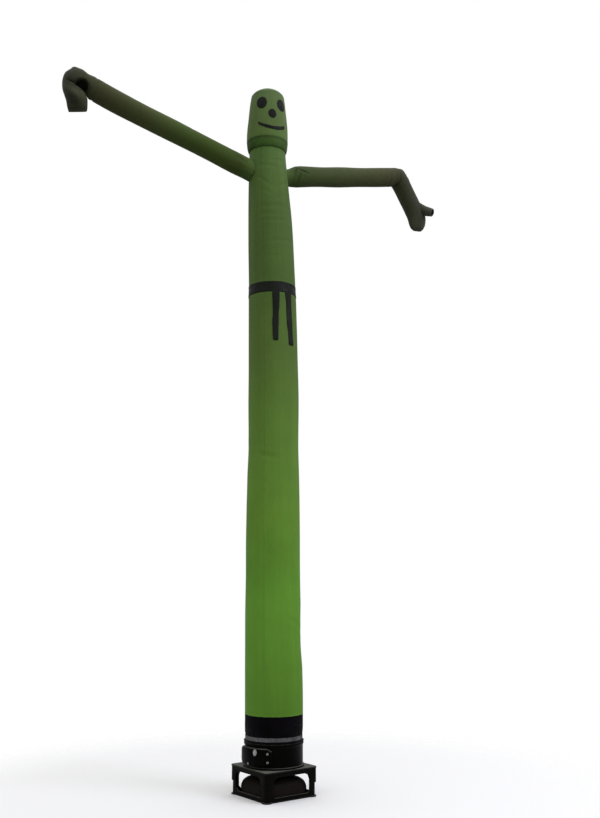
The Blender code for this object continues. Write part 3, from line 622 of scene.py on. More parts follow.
def make_stitch_tree():
    """Seam line in, realized stitches out."""
    tree, start, end = new_tree("stitch_row", [
        ("Seam Line", "NodeSocketGeometry", None),
        ("Pitch", "NodeSocketFloat", 0.005),
        ("Length", "NodeSocketFloat", 0.0034),
        ("Thickness", "NodeSocketFloat", 0.0009),
        ("Seed", "NodeSocketInt", 3),
        ("Thread", "NodeSocketMaterial", None),
    ])
    given = start.outputs
    line = add_node(tree, "GeometryNodeMeshToCurve", {"Mesh": given["Seam Line"]})
    spaced = {"Curve": line.outputs[0], "Length": given["Pitch"]}
    points = add_node(tree, "GeometryNodeResampleCurve", spaced, mode="LENGTH")
    tangent = add_node(tree, "GeometryNodeInputTangent")
    way = {"Vector": tangent.outputs[0]}
    turn = add_node(tree, "FunctionNodeAlignRotationToVector", way, axis="X")
    lump = add_node(tree, "GeometryNodeMeshIcoSphere", {"Radius": 0.5, "Subdivisions": 1})
    sides = {0: given["Length"], 1: given["Thickness"], 2: given["Thickness"]}
    size = add_node(tree, "ShaderNodeCombineXYZ", sides)
    between = {2: 0.85, 3: 1.12, "Seed": given["Seed"]}
    vary = add_node(tree, "FunctionNodeRandomValue", between, data_type="FLOAT")
    uneven = {0: size.outputs[0], "Scale": vary.outputs[1]}
    scaled = add_node(tree, "ShaderNodeVectorMath", uneven, operation="SCALE")
    placed = add_node(tree, "GeometryNodeInstanceOnPoints", {
        "Points": points.outputs[0],
        "Instance": lump.outputs[0],
        "Rotation": turn.outputs[0],
        "Scale": scaled.outputs[0],
    })
    end_tree(tree, placed, given["Thread"], end)
    return tree


stitch_tree = make_stitch_tree()
print("stitch tree:", len(stitch_tree.nodes), "nodes")

# %% [markdown]
# A modifier runs the tree on a piece, and its inputs are set by their identifiers. When
# the piece has been evaluated, the result is copied to a plain mesh and the modifier goes.


# %% Run a tree and keep the plain mesh
def evaluated_mesh(holder):
    """A plain mesh of an object as its modifiers leave it."""
    bpy.context.view_layer.update()
    graph = bpy.context.evaluated_depsgraph_get()
    return bpy.data.meshes.new_from_object(holder.evaluated_get(graph))


def run_tree(tree, name, mesh, **inputs):
    """The plain mesh that the tree makes from this mesh."""
    holder = bpy.data.objects.new(name, mesh)
    scene.collection.objects.link(holder)
    step = holder.modifiers.new("tree", "NODES")
    step.node_group = tree
    for item in tree.interface.items_tree:
        key = item.name.lower().replace(" ", "_")
        if item.item_type == "SOCKET" and item.in_out == "INPUT" and key in inputs:
            step[item.identifier] = inputs[key]
    made = evaluated_mesh(holder)
    bpy.data.objects.remove(holder)
    return made


def line_mesh(lines):
    """Loose edges along each line of points; a line marked closed joins its ends."""
    points = []
    edges = []
    for line, closed in lines:
        first = len(points)
        points += [tuple(p) for p in line]
        edges += [(first + k, first + k + 1) for k in range(len(line) - 1)]
        if closed:
            edges.append((len(points) - 1, first))
    mesh = bpy.data.meshes.new("seam_lines")
    mesh.from_pydata(points, edges, [])
    return mesh


def stitches(name, lines, material, slot, seed=3, **sizes):
    """A piece made of every stitch along the given lines."""
    mesh = run_tree(stitch_tree, name + "_line", line_mesh(lines), thread=material, seed=seed, **sizes)
    mesh.shade_smooth()
    made = add_object(name, mesh, material)
    settle(made)
    print(f"{name}: {len(mesh.polygons) // 20} stitches")
    return made


# %% [markdown]
# ## The tube
#
# The tube is one tall sleeve. A maker sews it from long panels with a lap seam down the
# front left, and the seams at its foot, under the belt and at the neck pull the cloth into
# fine gathers. Its rows come from the CAD tables, and it is modelled as a grid so that the
# seam can have its own narrow columns.

# %% The tube's tables
TUBE = [
    dict(z=0.6075, radius=0.2275, x=0.000, y=0.000),
    dict(z=0.76, radius=0.2290, x=0.000, y=0.000),
    dict(z=0.95, radius=0.2275, x=-0.003, y=0.001),
    dict(z=1.15, radius=0.2225, x=-0.009, y=0.003),
    dict(z=1.55, radius=0.2205, x=-0.012, y=0.004),
    dict(z=1.96, radius=0.2190, x=-0.014, y=0.004),
    dict(z=2.30, radius=0.2165, x=-0.015, y=0.004),
    dict(z=2.48, radius=0.2140, x=-0.016, y=0.005),
    dict(z=2.74, radius=0.2065, x=-0.014, y=0.004),
    dict(z=3.14, radius=0.2075, x=-0.015, y=0.004),
    dict(z=3.55, radius=0.2045, x=-0.021, y=0.006),
    dict(z=3.985, radius=0.1995, x=-0.029, y=0.008),
    dict(z=4.075, radius=0.1965, x=-0.031, y=0.009),
    dict(z=4.40, radius=0.1935, x=-0.041, y=0.012),
    dict(z=4.68, radius=0.1865, x=-0.051, y=0.015),
    dict(z=4.97, radius=0.1720, x=-0.064, y=0.019),
    dict(z=5.15, radius=0.1620, x=-0.072, y=0.021),
    dict(z=5.285, radius=0.1560, x=-0.076, y=0.022),
]
TUBE_FOOT, TUBE_NECK = TUBE[0]["z"], TUBE[-1]["z"]
BELT_LOW, BELT_HIGH = 3.985, 4.075
SEAM_ANGLE = -33.0
TUBE_MEAN = 0.2
STITCH_LIFT = 0.0002

# Long soft troughs: the middle's angle, half the width in degrees, the lowest and the
# highest place, and the depth
TUBE_FOLDS = [
    (-36.0, 22.0, 3.60, 5.15, 0.0030),
    (8.0, 18.0, 4.10, 5.10, 0.0016),
    (52.0, 22.0, 4.30, 5.10, 0.0032),
    (-75.0, 18.0, 4.05, 5.15, 0.0045),
    (118.0, 20.0, 3.20, 5.20, 0.0070),
    (-140.0, 20.0, 2.60, 5.10, 0.0060),
    (-100.0, 26.0, 2.25, 2.75, 0.0060),
    (74.0, 26.0, 0.95, 1.45, 0.0060),
    (20.0, 30.0, 1.70, 2.60, -0.0030),
    (165.0, 24.0, 0.80, 2.30, 0.0050),
    (-50.0, 22.0, 0.75, 1.90, 0.0030),
]
# Single creases: u is round the tube from the front, v is the height
TUBE_CREASES = [
    (-0.105, 4.99, -38.0, 0.17, 0.022, 0.0030),
    (-0.080, 4.88, -24.0, 0.15, 0.020, 0.0022),
    (0.115, 4.97, 32.0, 0.16, 0.022, 0.0028),
    (0.075, 4.84, 18.0, 0.14, 0.020, 0.0020),
    (0.010, 4.745, 3.0, 0.22, 0.026, 0.0026),
    (-0.050, 4.670, -4.0, 0.16, 0.020, 0.0022),
    (0.030, 4.620, 5.0, 0.22, 0.024, 0.0026),
    (0.040, 4.440, 6.0, 0.20, 0.024, 0.0022),
    (-0.040, 4.300, -6.0, 0.16, 0.022, 0.0018),
    (-0.030, 5.110, -6.0, 0.18, 0.024, 0.0028),
    (0.060, 5.170, 10.0, 0.12, 0.020, 0.0022),
    (0.060, 3.30, 64.0, 0.30, 0.040, 0.0026),
    (-0.120, 2.62, -12.0, 0.18, 0.034, 0.0036),
    (0.150, 1.30, -28.0, 0.20, 0.036, 0.0034),
    (-0.160, 1.00, 76.0, 0.26, 0.034, 0.0030),
    (0.030, 0.82, 82.0, 0.16, 0.030, 0.0020),
    (0.550, 4.60, 20.0, 0.22, 0.030, 0.0034),
    (0.600, 3.10, -24.0, 0.26, 0.036, 0.0034),
    (0.640, 1.90, 30.0, 0.24, 0.036, 0.0032),
]
print(f"tube {TUBE_NECK - TUBE_FOOT:.2f} m tall in {len(TUBE)} rows")

# %% [markdown]
# One function gives the tube's surface at any angle and height. Everything that lies on
# the tube, such as the belt and the stitches, asks the same function, so it always follows
# the cloth.


# %% The tube's surface
def gathers(angle, away, reach, count, depth, seed):
    """Short pleats that a seam pulls into the cloth and that fade with distance from it."""
    rng = np.random.default_rng(seed)
    turned = np.radians(angle)
    wave = np.zeros(np.broadcast(angle, away).shape)
    for share in (1.0, 0.61, 1.43):
        wave = wave + np.cos(np.round(count * share) * turned + rng.uniform(0.0, 6.28))
    fade = np.exp(-np.clip(away, 0.0, None) / reach)
    return depth * wave / 3.0 * fade


def tube_surface(angle, z, lift=0.0, plain=False):
    """Points on the tube's outer face, or lift outside it. Angle 0 is the front."""
    angle, z = np.broadcast_arrays(np.asarray(angle, float), np.asarray(z, float))
    radius = at_height(TUBE, "radius", z)
    u = np.radians(wrapped(angle)) * radius
    if not plain:
        for middle_angle, wide, low, high, depth in TUBE_FOLDS:
            across = swell(wrapped(angle - middle_angle) / wide)
            along = swell((z - (low + high) / 2.0) / ((high - low) / 2.0)) ** 0.5
            radius = radius - depth * across * along
        radius = radius - creased(u, z, TUBE_CREASES, 2.0 * math.pi * TUBE_MEAN)
        calm = np.clip((z - TUBE_FOOT) / 0.10, 0.0, 1.0) * np.clip((TUBE_NECK - z) / 0.06, 0.0, 1.0)
        belt = np.clip(np.abs(z - (BELT_LOW + BELT_HIGH) / 2.0) / 0.10, 0.0, 1.0)
        round_u = TUBE_MEAN * np.sin(np.radians(angle))
        round_v = TUBE_MEAN * np.cos(np.radians(angle))
        uneven = drift(round_u, z, 0.34, 5) + drift(round_v, z, 0.42, 6)
        radius = radius + 0.0016 * calm * belt * uneven
        radius = radius + gathers(angle, z - TUBE_FOOT, 0.035, 46, 0.0022, 11)
        radius = radius + gathers(angle, TUBE_NECK - z, 0.045, 40, 0.0020, 12)
        radius = radius + gathers(angle, np.abs(z - BELT_LOW), 0.030, 44, 0.0009, 13)
        lap = wrapped(angle - SEAM_ANGLE)
        radius = radius + 0.0008 * np.clip((2.1 - np.abs(lap)) / 0.5, 0.0, 1.0)
        pucker = np.sin(z * 2.0 * np.pi / 0.075 + 2.0 * np.sin(z * 7.0))
        radius = radius + 0.0008 * pucker * swell(lap / 9.0)
    return round_points(at_height(TUBE, "x", z), at_height(TUBE, "y", z), radius + lift, angle, z)


print("front of the tube at 2 m:", np.round(tube_surface(0.0, 2.0), 3))

# %% Sew the tube
TUBE_COLUMNS = 116
TUBE_ROWS = 318
around = np.linspace(0.0, 360.0, TUBE_COLUMNS, endpoint=False)
lap_edges = (SEAM_ANGLE + np.array([-2.6, -2.1, -1.6, 1.6, 2.1, 2.6])) % 360.0
around = np.sort(np.concatenate([around, lap_edges]))
rows = np.concatenate([
    np.linspace(TUBE_FOOT, TUBE_FOOT + 0.12, 16, endpoint=False),
    np.linspace(TUBE_FOOT + 0.12, TUBE_NECK - 0.12, TUBE_ROWS, endpoint=False),
    np.linspace(TUBE_NECK - 0.12, TUBE_NECK, 16),
])
angles, heights = np.meshgrid(around, rows)
tube_grid = tube_surface(angles, heights)

lap = np.abs(wrapped(angles - SEAM_ANGLE))
visible = 0.35 + 0.65 * np.clip((heights - 3.9) / 0.3, 0.0, 1.0)
tube_shade = 0.09 * visible * np.clip((2.3 - lap) / 0.5, 0.0, 1.0)
tube_shade = tube_shade - 0.16 * swell((heights - BELT_LOW + 0.008) / 0.014)
tube_shade = tube_shade - 0.10 * swell((heights - BELT_HIGH - 0.006) / 0.012)
tube_shade = tube_shade - 0.35 * swell((heights - TUBE_FOOT) / 0.012)
# Painted shade on the neck just under the head's overhang.
tube_shade = tube_shade + 0.12 * swell((heights - TUBE_NECK) / 0.020)

tube_mesh = grid_mesh("tube_cloth", tube_grid, shade=tube_shade)
face_outwards(tube_mesh)
tube_cloth = sheet_piece("tube_cloth", tube_mesh, green_nylon, "body_tube", NYLON_THICK)
tube_cut, tube_area = cut_size(tube_surface(angles, heights, plain=True))
print("cut of the tube:", np.round(tube_cut, 3), "area", round(tube_area, 3))

# %% Stitch the tube's seams
seam_heights = np.linspace(TUBE_FOOT + 0.004, TUBE_NECK - 0.004, 700)
ring_angles = np.linspace(0.0, 360.0, 180, endpoint=False)
tube_lines = []
for side in (-1.3, 1.3):
    tube_lines.append((tube_surface(SEAM_ANGLE + side, seam_heights, STITCH_LIFT), False))
for z in (TUBE_FOOT + 0.006, TUBE_NECK - 0.010):
    tube_lines.append((tube_surface(ring_angles, z, STITCH_LIFT), True))
tube_stitches = stitches("tube_stitches", tube_lines, green_thread, "green_cloth")

# %% [markdown]
# ## The head
#
# The head is a cap that is wider than the neck. At its lower edge the cloth turns in to
# the neck as a narrow jaw band, gathered all round, and the crown is a round piece sewn to
# the side. Its rows run along the profile, not up the height, so that the flat crown gets
# as many rows as the side.

# %% The head's table
HEAD = [
    dict(z=5.2853, radius=0.1565),
    dict(z=5.302, radius=0.1660),
    dict(z=5.335, radius=0.1735),
    dict(z=5.368, radius=0.1765),
    dict(z=5.384, radius=0.1777),
    dict(z=5.440, radius=0.1775),
    dict(z=5.500, radius=0.1745),
    dict(z=5.570, radius=0.1680),
    dict(z=5.640, radius=0.1620),
    dict(z=5.710, radius=0.1570),
    dict(z=5.765, radius=0.1510),
    dict(z=5.805, radius=0.1430),
    dict(z=5.833, radius=0.1215),
    dict(z=5.856, radius=0.0880),
    dict(z=5.877, radius=0.0440),
    dict(z=5.885, radius=0.0000),
]
HEAD_X, HEAD_Y = -0.077, 0.022
HEAD_MEAN = 0.165
JAW_Z = 5.384
NECK_EDGE = 5.312
CROWN_Z = 5.806
head_steps = np.hypot(np.diff(column(HEAD, "z")), np.diff(column(HEAD, "radius")))
head_path = np.concatenate([[0.0], np.cumsum(head_steps)])
HEAD_CREASES = [
    (-0.075, 5.345, 62.0, 0.045, 0.012, 0.0030),
    (-0.030, 5.340, 84.0, 0.040, 0.010, 0.0022),
    (0.022, 5.345, 96.0, 0.040, 0.010, 0.0022),
    (0.080, 5.345, 115.0, 0.045, 0.012, 0.0030),
    (0.125, 5.335, 128.0, 0.045, 0.014, 0.0036),
    (-0.125, 5.335, 50.0, 0.050, 0.014, 0.0036),
    (-0.150, 5.500, 84.0, 0.180, 0.030, 0.0040),
    (0.160, 5.560, 96.0, 0.200, 0.030, 0.0036),
    (-0.060, 5.520, 70.0, 0.080, 0.018, 0.0012),
    (0.045, 5.650, 80.0, 0.070, 0.016, 0.0012),
    (0.450, 5.560, 100.0, 0.160, 0.030, 0.0040),
]


def head_surface(angle, z, lift=0.0, plain=False, radius=None):
    """Points on the head's outer face, or lift outside it."""
    angle, z = np.broadcast_arrays(np.asarray(angle, float), np.asarray(z, float))
    if radius is None:
        radius = at_height(HEAD, "radius", z)
    size = radius
    if not plain:
        u = np.radians(wrapped(angle)) * HEAD_MEAN
        side = np.clip((CROWN_Z - z) / 0.02, 0.0, 1.0)
        size = size - side * creased(u, z, HEAD_CREASES, 2.0 * math.pi * HEAD_MEAN)
        round_u, round_v = 0.16 * np.sin(np.radians(angle)), 0.16 * np.cos(np.radians(angle))
        size = size + 0.0016 * side * (drift(round_u, z, 0.16, 21) + drift(round_v, z, 0.2, 22))
        size = size + gathers(angle, np.abs(z - JAW_Z) * 2.4, 0.03, 34, 0.0017, 23) * side
        crown = gathers(angle, np.abs(z - CROWN_Z), 0.018, 30, 0.0012, 24)
        size = size + crown * np.clip(radius / 0.1, 0.0, 1.0)
    return round_points(HEAD_X, HEAD_Y, size + lift, angle, z)


# %% Sew the head
HEAD_COLUMNS = 144
HEAD_ROWS = 110
steps = np.linspace(0.0, head_path[-1] - 0.004, HEAD_ROWS)
row_z = eased(head_path, column(HEAD, "z"), steps)
row_radius = eased(head_path, column(HEAD, "radius"), steps)
head_angles = np.linspace(0.0, 360.0, HEAD_COLUMNS, endpoint=False)
angles, heights = np.meshgrid(head_angles, row_z)
radii = np.broadcast_to(row_radius[:, None], angles.shape)
head_grid = head_surface(angles, heights, radius=radii)
# Painted shade on the jaw band that turns in under the head: darkest in its top fold, towards the sides and
# where it meets the neck, with a random mottle. The crown seam is a darker line.
jaw = np.clip((JAW_Z - heights) / 0.012, 0.0, 1.0)
head_shade = 0.16 * swell((heights - CROWN_Z) / 0.010) + 0.34 * jaw
head_shade = head_shade + 0.22 * swell((heights - JAW_Z + 0.014) / 0.024)
head_shade = head_shade + 0.08 * np.clip((NECK_EDGE - heights) / 0.02, 0.0, 1.0)
head_shade = head_shade + jaw * 0.12 * np.abs(np.sin(np.radians(angles))) ** 3
head_shade = head_shade + jaw * 0.06 * drift(np.radians(angles) * 0.17, heights, 0.05, 27)
pole = (HEAD_X, HEAD_Y, HEAD[-1]["z"])
head_mesh = grid_mesh("head_cloth", head_grid, pole=pole, shade=head_shade)
face_outwards(head_mesh)
head_cloth = sheet_piece("head_cloth", head_mesh, green_nylon, "head", NYLON_THICK)
head_cut, head_area = cut_size(head_surface(angles, heights, plain=True, radius=radii))
print("cut of the head:", np.round(head_cut, 3), "area", round(head_area, 3))

# %% Stitch the head
head_lines = []
for z in (5.293, JAW_Z - 0.006, CROWN_Z - 0.006):
    head_lines.append((head_surface(ring_angles, z, STITCH_LIFT), True))
head_stitches = stitches("head_stitches", head_lines, green_thread, "green_cloth", seed=4)

# %% [markdown]
# ## The face
#
# Two oval eyes, an oval nose and a curved mouth are cut from black cloth and sewn flat on
# the head. Each is described on flat cloth, across and up, and then laid round the head.
# The ovals are grids in polar form, rings of points round a middle; the mouth is a strip.

# %% Lay flat cloth on the head
PATCH_LIFT = 0.0009
FACE_TILT = -0.06
OVALS = [
    dict(name="eye_left", angle=-33.5, z=5.685, wide=0.094, tall=0.112, lean=4.0),
    dict(name="eye_right", angle=33.5, z=5.691, wide=0.094, tall=0.112, lean=-8.0),
    dict(name="nose", angle=0.0, z=5.585, wide=0.070, tall=0.086, lean=0.0),
]


def on_face(angle, across, z, lift):
    """A point of a flat piece laid on the head, with the face's slight tilt."""
    radius = at_height(HEAD, "radius", z)
    turned = angle + np.degrees(across / radius)
    return head_surface(turned, z + FACE_TILT * radius * np.sin(np.radians(turned)), lift)


def outline_stitches(edge, inset):
    """The stitch line just inside a closed edge of points."""
    centre = edge.mean(axis=0)
    reach = np.linalg.norm(edge - centre, axis=1, keepdims=True)
    return edge + (centre - edge) * inset / reach


for number, oval in enumerate(OVALS):
    rng = np.random.default_rng(40 + number)
    turn = np.linspace(0.0, 2.0 * np.pi, 48, endpoint=False)
    wobble = 1.0 + 0.012 * np.cos(2 * turn + rng.uniform(0, 6)) + 0.010 * np.cos(3 * turn + rng.uniform(0, 6))
    share = np.linspace(1.0, 0.08, 10)[:, None]
    lean = math.radians(oval["lean"])
    flat_x = share * oval["wide"] / 2.0 * np.cos(turn) * wobble
    flat_z = share * oval["tall"] / 2.0 * np.sin(turn) * wobble
    across = flat_x * math.cos(lean) - flat_z * math.sin(lean)
    up = flat_x * math.sin(lean) + flat_z * math.cos(lean)
    lift = PATCH_LIFT + 0.0003 * (1.0 - share**6)
    grid = on_face(oval["angle"], across, oval["z"] + up, lift)
    middle = on_face(oval["angle"], np.array(0.0), np.array(oval["z"]), PATCH_LIFT + 0.0003)
    mesh = grid_mesh(oval["name"] + "_cloth", grid, pole=middle, uv=np.stack([across, up], axis=2))
    face_front(mesh)
    patch = sheet_piece(mesh.name, mesh, black_nylon, oval["name"], PATCH_THICK, True)
    edge = on_face(oval["angle"], across[0], oval["z"] + up[0], PATCH_LIFT + 0.0016)
    seam = stitches(oval["name"] + "_stitches", [(outline_stitches(edge, 0.004), True)],
                    black_thread, "black_cloth", seed=50 + number, pitch=0.004, length=0.003)

# %% Cut and sew the mouth
MOUTH_ANGLE = 41.0
MOUTH_Z, MOUTH_RISE, MOUTH_WIDTH = 5.452, 0.040, 0.030
MOUTH_END = 0.016
MOUTH_COLUMNS, MOUTH_ROWS = 90, 9
mouth_radius = float(at_height(HEAD, "radius", MOUTH_Z))
t = np.sin(np.linspace(-np.pi / 2.0, np.pi / 2.0, MOUTH_COLUMNS))
reach = math.radians(MOUTH_ANGLE) * mouth_radius
along = t * reach
near_end = np.clip((np.abs(along) - reach + MOUTH_END) / MOUTH_END, 0.0, 1.0)
half = MOUTH_WIDTH / 2.0 * np.maximum(np.sqrt(1.0 - near_end**2), 0.05)
half = half * (1.0 + 0.10 * t - 0.06 * np.cos(t * 9.0))
side = np.linspace(-1.0, 1.0, MOUTH_ROWS)
curve = MOUTH_Z + MOUTH_RISE * t**2
grid_along = np.broadcast_to(along[:, None], (MOUTH_COLUMNS, MOUTH_ROWS))
grid_z = curve[:, None] + half[:, None] * side
lift = PATCH_LIFT + 0.0003 * (1.0 - np.abs(side) ** 4)
mouth_grid = on_face(0.0, grid_along, grid_z, lift)
mouth_uv = np.stack([grid_along, half[:, None] * side], axis=2)
mouth_mesh = grid_mesh("mouth_cloth", mouth_grid, closed=False, uv=mouth_uv)
face_front(mouth_mesh)
mouth_cloth = sheet_piece("mouth_cloth", mouth_mesh, black_nylon, "mouth", PATCH_THICK, True)
mouth_lines = []
for edge in (-0.7, 0.7):
    line = on_face(0.0, along[4:-4], curve[4:-4] + half[4:-4] * edge, PATCH_LIFT + 0.0017)
    mouth_lines.append((line, False))
mouth_stitches = stitches("mouth_stitches", mouth_lines, black_thread, "black_cloth",
                          pitch=0.004, length=0.003)

# %% [markdown]
# ## The belt
#
# The belt is a band of the same black cloth sewn round the tube. Two tails hang from its
# front, held flat by the air's pressure behind them and free at their ends.

# %% Sew the belt and its tails
belt_angles = np.linspace(0.0, 360.0, 144, endpoint=False)
belt_rows = np.linspace(BELT_LOW, BELT_HIGH, 13)
angles, heights = np.meshgrid(belt_angles, belt_rows)
hem = np.abs((heights - belt_rows.mean()) / (belt_rows[-1] - belt_rows[0]) * 2.0)
belt_lift = 0.0006 + 0.0007 * np.clip((hem - 0.72) / 0.1, 0.0, 1.0)
wave = 0.0012 * np.sin(np.radians(angles) * 3.0 + 0.6) + 0.0008 * np.sin(np.radians(angles) * 7.0)
belt_grid = tube_surface(angles, heights + wave * 0.6, belt_lift)
belt_mesh = grid_mesh("belt_cloth", belt_grid, shade=np.where(hem > 0.95, -0.3, 0.0))
face_outwards(belt_mesh)
belt_cloth = sheet_piece("belt_cloth", belt_mesh, black_nylon, "belt_band", PATCH_THICK, True)
belt_cut, belt_area = cut_size(tube_surface(angles, heights, plain=True))
belt_lines = [(tube_surface(ring_angles, z, 0.0032), True) for z in (BELT_LOW + 0.010, BELT_HIGH - 0.010)]
belt_stitches = stitches("belt_stitches", belt_lines, black_thread, "black_cloth", seed=8)

BELT_TAILS = [
    dict(name="belt_tail_left", top=-6.3, end=-9.0, top_width=0.058, end_width=0.044, low=3.569),
    dict(name="belt_tail_right", top=25.5, end=31.0, top_width=0.062, end_width=0.052, low=3.540),
]
for number, tail in enumerate(BELT_TAILS):
    t = np.linspace(0.0, 1.0, 64)[:, None]
    side = np.linspace(-1.0, 1.0, 11)
    z = BELT_LOW + 0.004 + (tail["low"] - BELT_LOW - 0.004) * t
    half = (tail["top_width"] + (tail["end_width"] - tail["top_width"]) * t) / 2.0
    half = half * (1.0 + 0.05 * np.sin(t * 11.0 + number * 2.0) + 0.03 * np.sin(t * 23.0))
    corner = np.clip((t - 0.975) / 0.025, 0.0, 1.0)
    half = half * (1.0 - 0.25 * corner**2)
    middle = tail["top"] + (tail["end"] - tail["top"]) * t + 0.5 * np.sin(t * 7.0 + number)
    radius = at_height(TUBE, "radius", z)
    tail_angles = middle + np.degrees(side * half / radius)
    loose = 0.0016 + 0.0010 * np.sin(t * np.pi * 2.5) ** 2 + 0.0012 * t**3 * side**2
    grid = tube_surface(tail_angles, np.broadcast_to(z, tail_angles.shape), loose)
    uv = np.stack([side * half, np.broadcast_to(z, tail_angles.shape)], axis=2)
    mesh = grid_mesh(tail["name"] + "_cloth", grid, closed=False, uv=uv)
    face_front(mesh)
    cloth = sheet_piece(mesh.name, mesh, black_nylon, tail["name"], HEM_THICK, True)

# %% [markdown]
# ## The arms
#
# An arm is a long narrow sleeve. The fan's air reaches it through a hole in the tube, so it
# is softer than the tube: it creases where it is sewn on, folds hard at its bend, and ends
# in a flattened mitten. Each section of an arm is an oval in a plane across it. The table
# gives the oval's place, its direction and its half sizes, and the columns of the grid
# join the same place on each oval.

# %% The arms' tables
SHOULDER = np.array([-0.070, 0.020, 0.0])
ARM_COLUMN_NAMES = ("out", "side", "z", "turn", "tall", "deep")
ARM_MEAN = 0.09
UP = np.array([0.0, 0.0, 1.0])
RAISED_HEADING = (-0.9978, -0.0661)
RAISED_ROWS = [
    (0.020, 0.0, 5.052, 20.2, 0.0850, 0.0850),
    (0.110, 0.0, 5.085, 20.2, 0.0860, 0.0860),
    (0.190, 0.0, 5.118, 20.2, 0.0880, 0.0885),
    (0.300, 0.0, 5.157, 20.2, 0.0900, 0.0905),
    (0.485, 0.0, 5.226, 20.2, 0.0885, 0.0920),
    (0.700, 0.0, 5.304, 20.2, 0.0890, 0.0905),
    (0.902, 0.0, 5.377, 20.2, 0.0905, 0.0920),
    (1.110, 0.0, 5.450, 20.2, 0.0900, 0.0925),
    (1.310, 0.0, 5.525, 20.2, 0.0915, 0.0920),
    (1.430, 0.0, 5.574, 20.2, 0.0915, 0.0925),
    (1.518, 0.0, 5.613, 18.0, 0.0900, 0.0935),
    (1.562, 0.0, 5.634, 0.0, 0.0865, 0.0950),
    (1.604, 0.0, 5.652, -15.0, 0.1125, 0.0960),
    (1.636, 0.0, 5.648, -27.0, 0.1205, 0.0970),
    (1.660, 0.0, 5.626, -40.0, 0.1250, 0.0970),
    (1.669, 0.0, 5.590, -54.0, 0.1185, 0.0960),
    (1.665, 0.0, 5.549, -69.5, 0.1075, 0.0920),
    (1.653, 0.0, 5.512, -82.0, 0.0957, 0.0860),
    (1.644, 0.0, 5.476, -90.0, 0.0869, 0.0740),
    (1.638, 0.0, 5.431, -97.0, 0.0825, 0.0520),
    (1.634, 0.0, 5.399, -100.0, 0.0765, 0.0200),
    (1.634, 0.0, 5.387, -101.0, 0.0715, 0.0035),
]
BENT_HEADING = (0.9566, 0.2913)
BENT_ROWS = [
    (0.020, 0.0, 5.070, 13.3, 0.0700, 0.0740),
    (0.110, 0.0, 5.091, 13.3, 0.0700, 0.0740),
    (0.201, 0.0, 5.113, 13.3, 0.0730, 0.0770),
    (0.255, 0.0, 5.131, 13.3, 0.0830, 0.0820),
    (0.310, 0.0, 5.150, 13.3, 0.0910, 0.0870),
    (0.391, 0.0, 5.170, 13.3, 0.0905, 0.0900),
    (0.636, 0.0, 5.225, 13.3, 0.0878, 0.0910),
    (0.907, 0.0, 5.289, 13.3, 0.0872, 0.0915),
    (1.165, 0.0, 5.351, 13.3, 0.0878, 0.0915),
    (1.348, 0.0, 5.396, 11.0, 0.0885, 0.0920),
    (1.420, 0.0, 5.413, -12.0, 0.0905, 0.0940),
    (1.449, 0.0, 5.403, -28.0, 0.0895, 0.0960),
    (1.466, -0.010, 5.372, -42.0, 0.0845, 0.0960),
    (1.500, -0.020, 5.305, -56.0, 0.0805, 0.0930),
    (1.535, -0.030, 5.233, -61.0, 0.0825, 0.0880),
    (1.570, -0.038, 5.165, -62.0, 0.0835, 0.0840),
    (1.604, -0.044, 5.104, -63.0, 0.0915, 0.0780),
    (1.628, -0.048, 5.055, -66.0, 0.0985, 0.0680),
    (1.639, -0.050, 5.010, -72.0, 0.1010, 0.0560),
    (1.642, -0.050, 4.967, -77.0, 0.0945, 0.0430),
    (1.638, -0.050, 4.929, -82.0, 0.0760, 0.0260),
    (1.635, -0.050, 4.903, -84.0, 0.0440, 0.0050),
]
# The raised wrist folds over: a crease in front with a round hollow above its right end.
# Both are laid out in the picture's plane, in metres right and up at the hand's distance.
HAND_DISTANCE = 7.71
CREASE_LEFT, CREASE_RIGHT = (-1.900, 2.672), (-1.738, 2.562)
HOLLOW_MIDDLE = (-1.776, 2.619)
HOLLOW_RADIUS, HOLLOW_DEPTH = 0.056, 0.080
# Creases: u round the arm from its top towards the viewer, v along it from the shoulder
RAISED_CREASES = [
    (0.02, 0.30, 80.0, 0.12, 0.018, 0.0035),
    (0.13, 0.27, 96.0, 0.10, 0.018, 0.0040),
    (0.24, 0.28, 84.0, 0.11, 0.018, 0.0040),
    (0.44, 0.28, 92.0, 0.12, 0.020, 0.0045),
    (0.08, 0.75, 20.0, 0.10, 0.024, 0.0016),
    (0.15, 1.20, -16.0, 0.12, 0.026, 0.0018),
    (0.00, 1.719, 0.0, 0.09, 0.024, -0.0120),
    (0.10, 1.56, 34.0, 0.09, 0.016, 0.0030),
    (0.06, 1.60, 12.0, 0.07, 0.014, 0.0030),
    (0.30, 1.58, -10.0, 0.10, 0.018, 0.0040),
    (0.46, 1.66, 8.0, 0.10, 0.018, 0.0040),
    (0.16, 1.90, 84.0, 0.07, 0.014, 0.0020),
    (0.08, 1.92, 96.0, 0.06, 0.012, 0.0018),
]
BENT_CREASES = [
    (0.085, 0.245, -40.0, 0.10, 0.018, 0.0110),
    (0.120, 0.310, 62.0, 0.08, 0.016, 0.0095),
    (0.180, 0.250, -20.0, 0.10, 0.022, 0.0080),
    (0.02, 0.250, 76.0, 0.08, 0.016, 0.0040),
    (0.42, 0.270, 12.0, 0.12, 0.020, 0.0060),
    (0.10, 0.800, 14.0, 0.10, 0.024, 0.0016),
    (0.00, 1.462, 0.0, 0.10, 0.026, -0.0130),
    (0.20, 1.310, -14.0, 0.10, 0.020, 0.0030),
    (0.22, 1.400, 6.0, 0.10, 0.018, 0.0060),
    (0.17, 1.440, 24.0, 0.09, 0.015, 0.0050),
    (0.24, 1.480, -8.0, 0.10, 0.016, 0.0060),
    (0.10, 1.520, 30.0, 0.08, 0.015, 0.0034),
    (0.36, 1.430, -4.0, 0.10, 0.018, 0.0050),
    (0.12, 1.760, 70.0, 0.10, 0.020, 0.0030),
    (0.18, 1.840, 50.0, 0.08, 0.018, 0.0034),
]


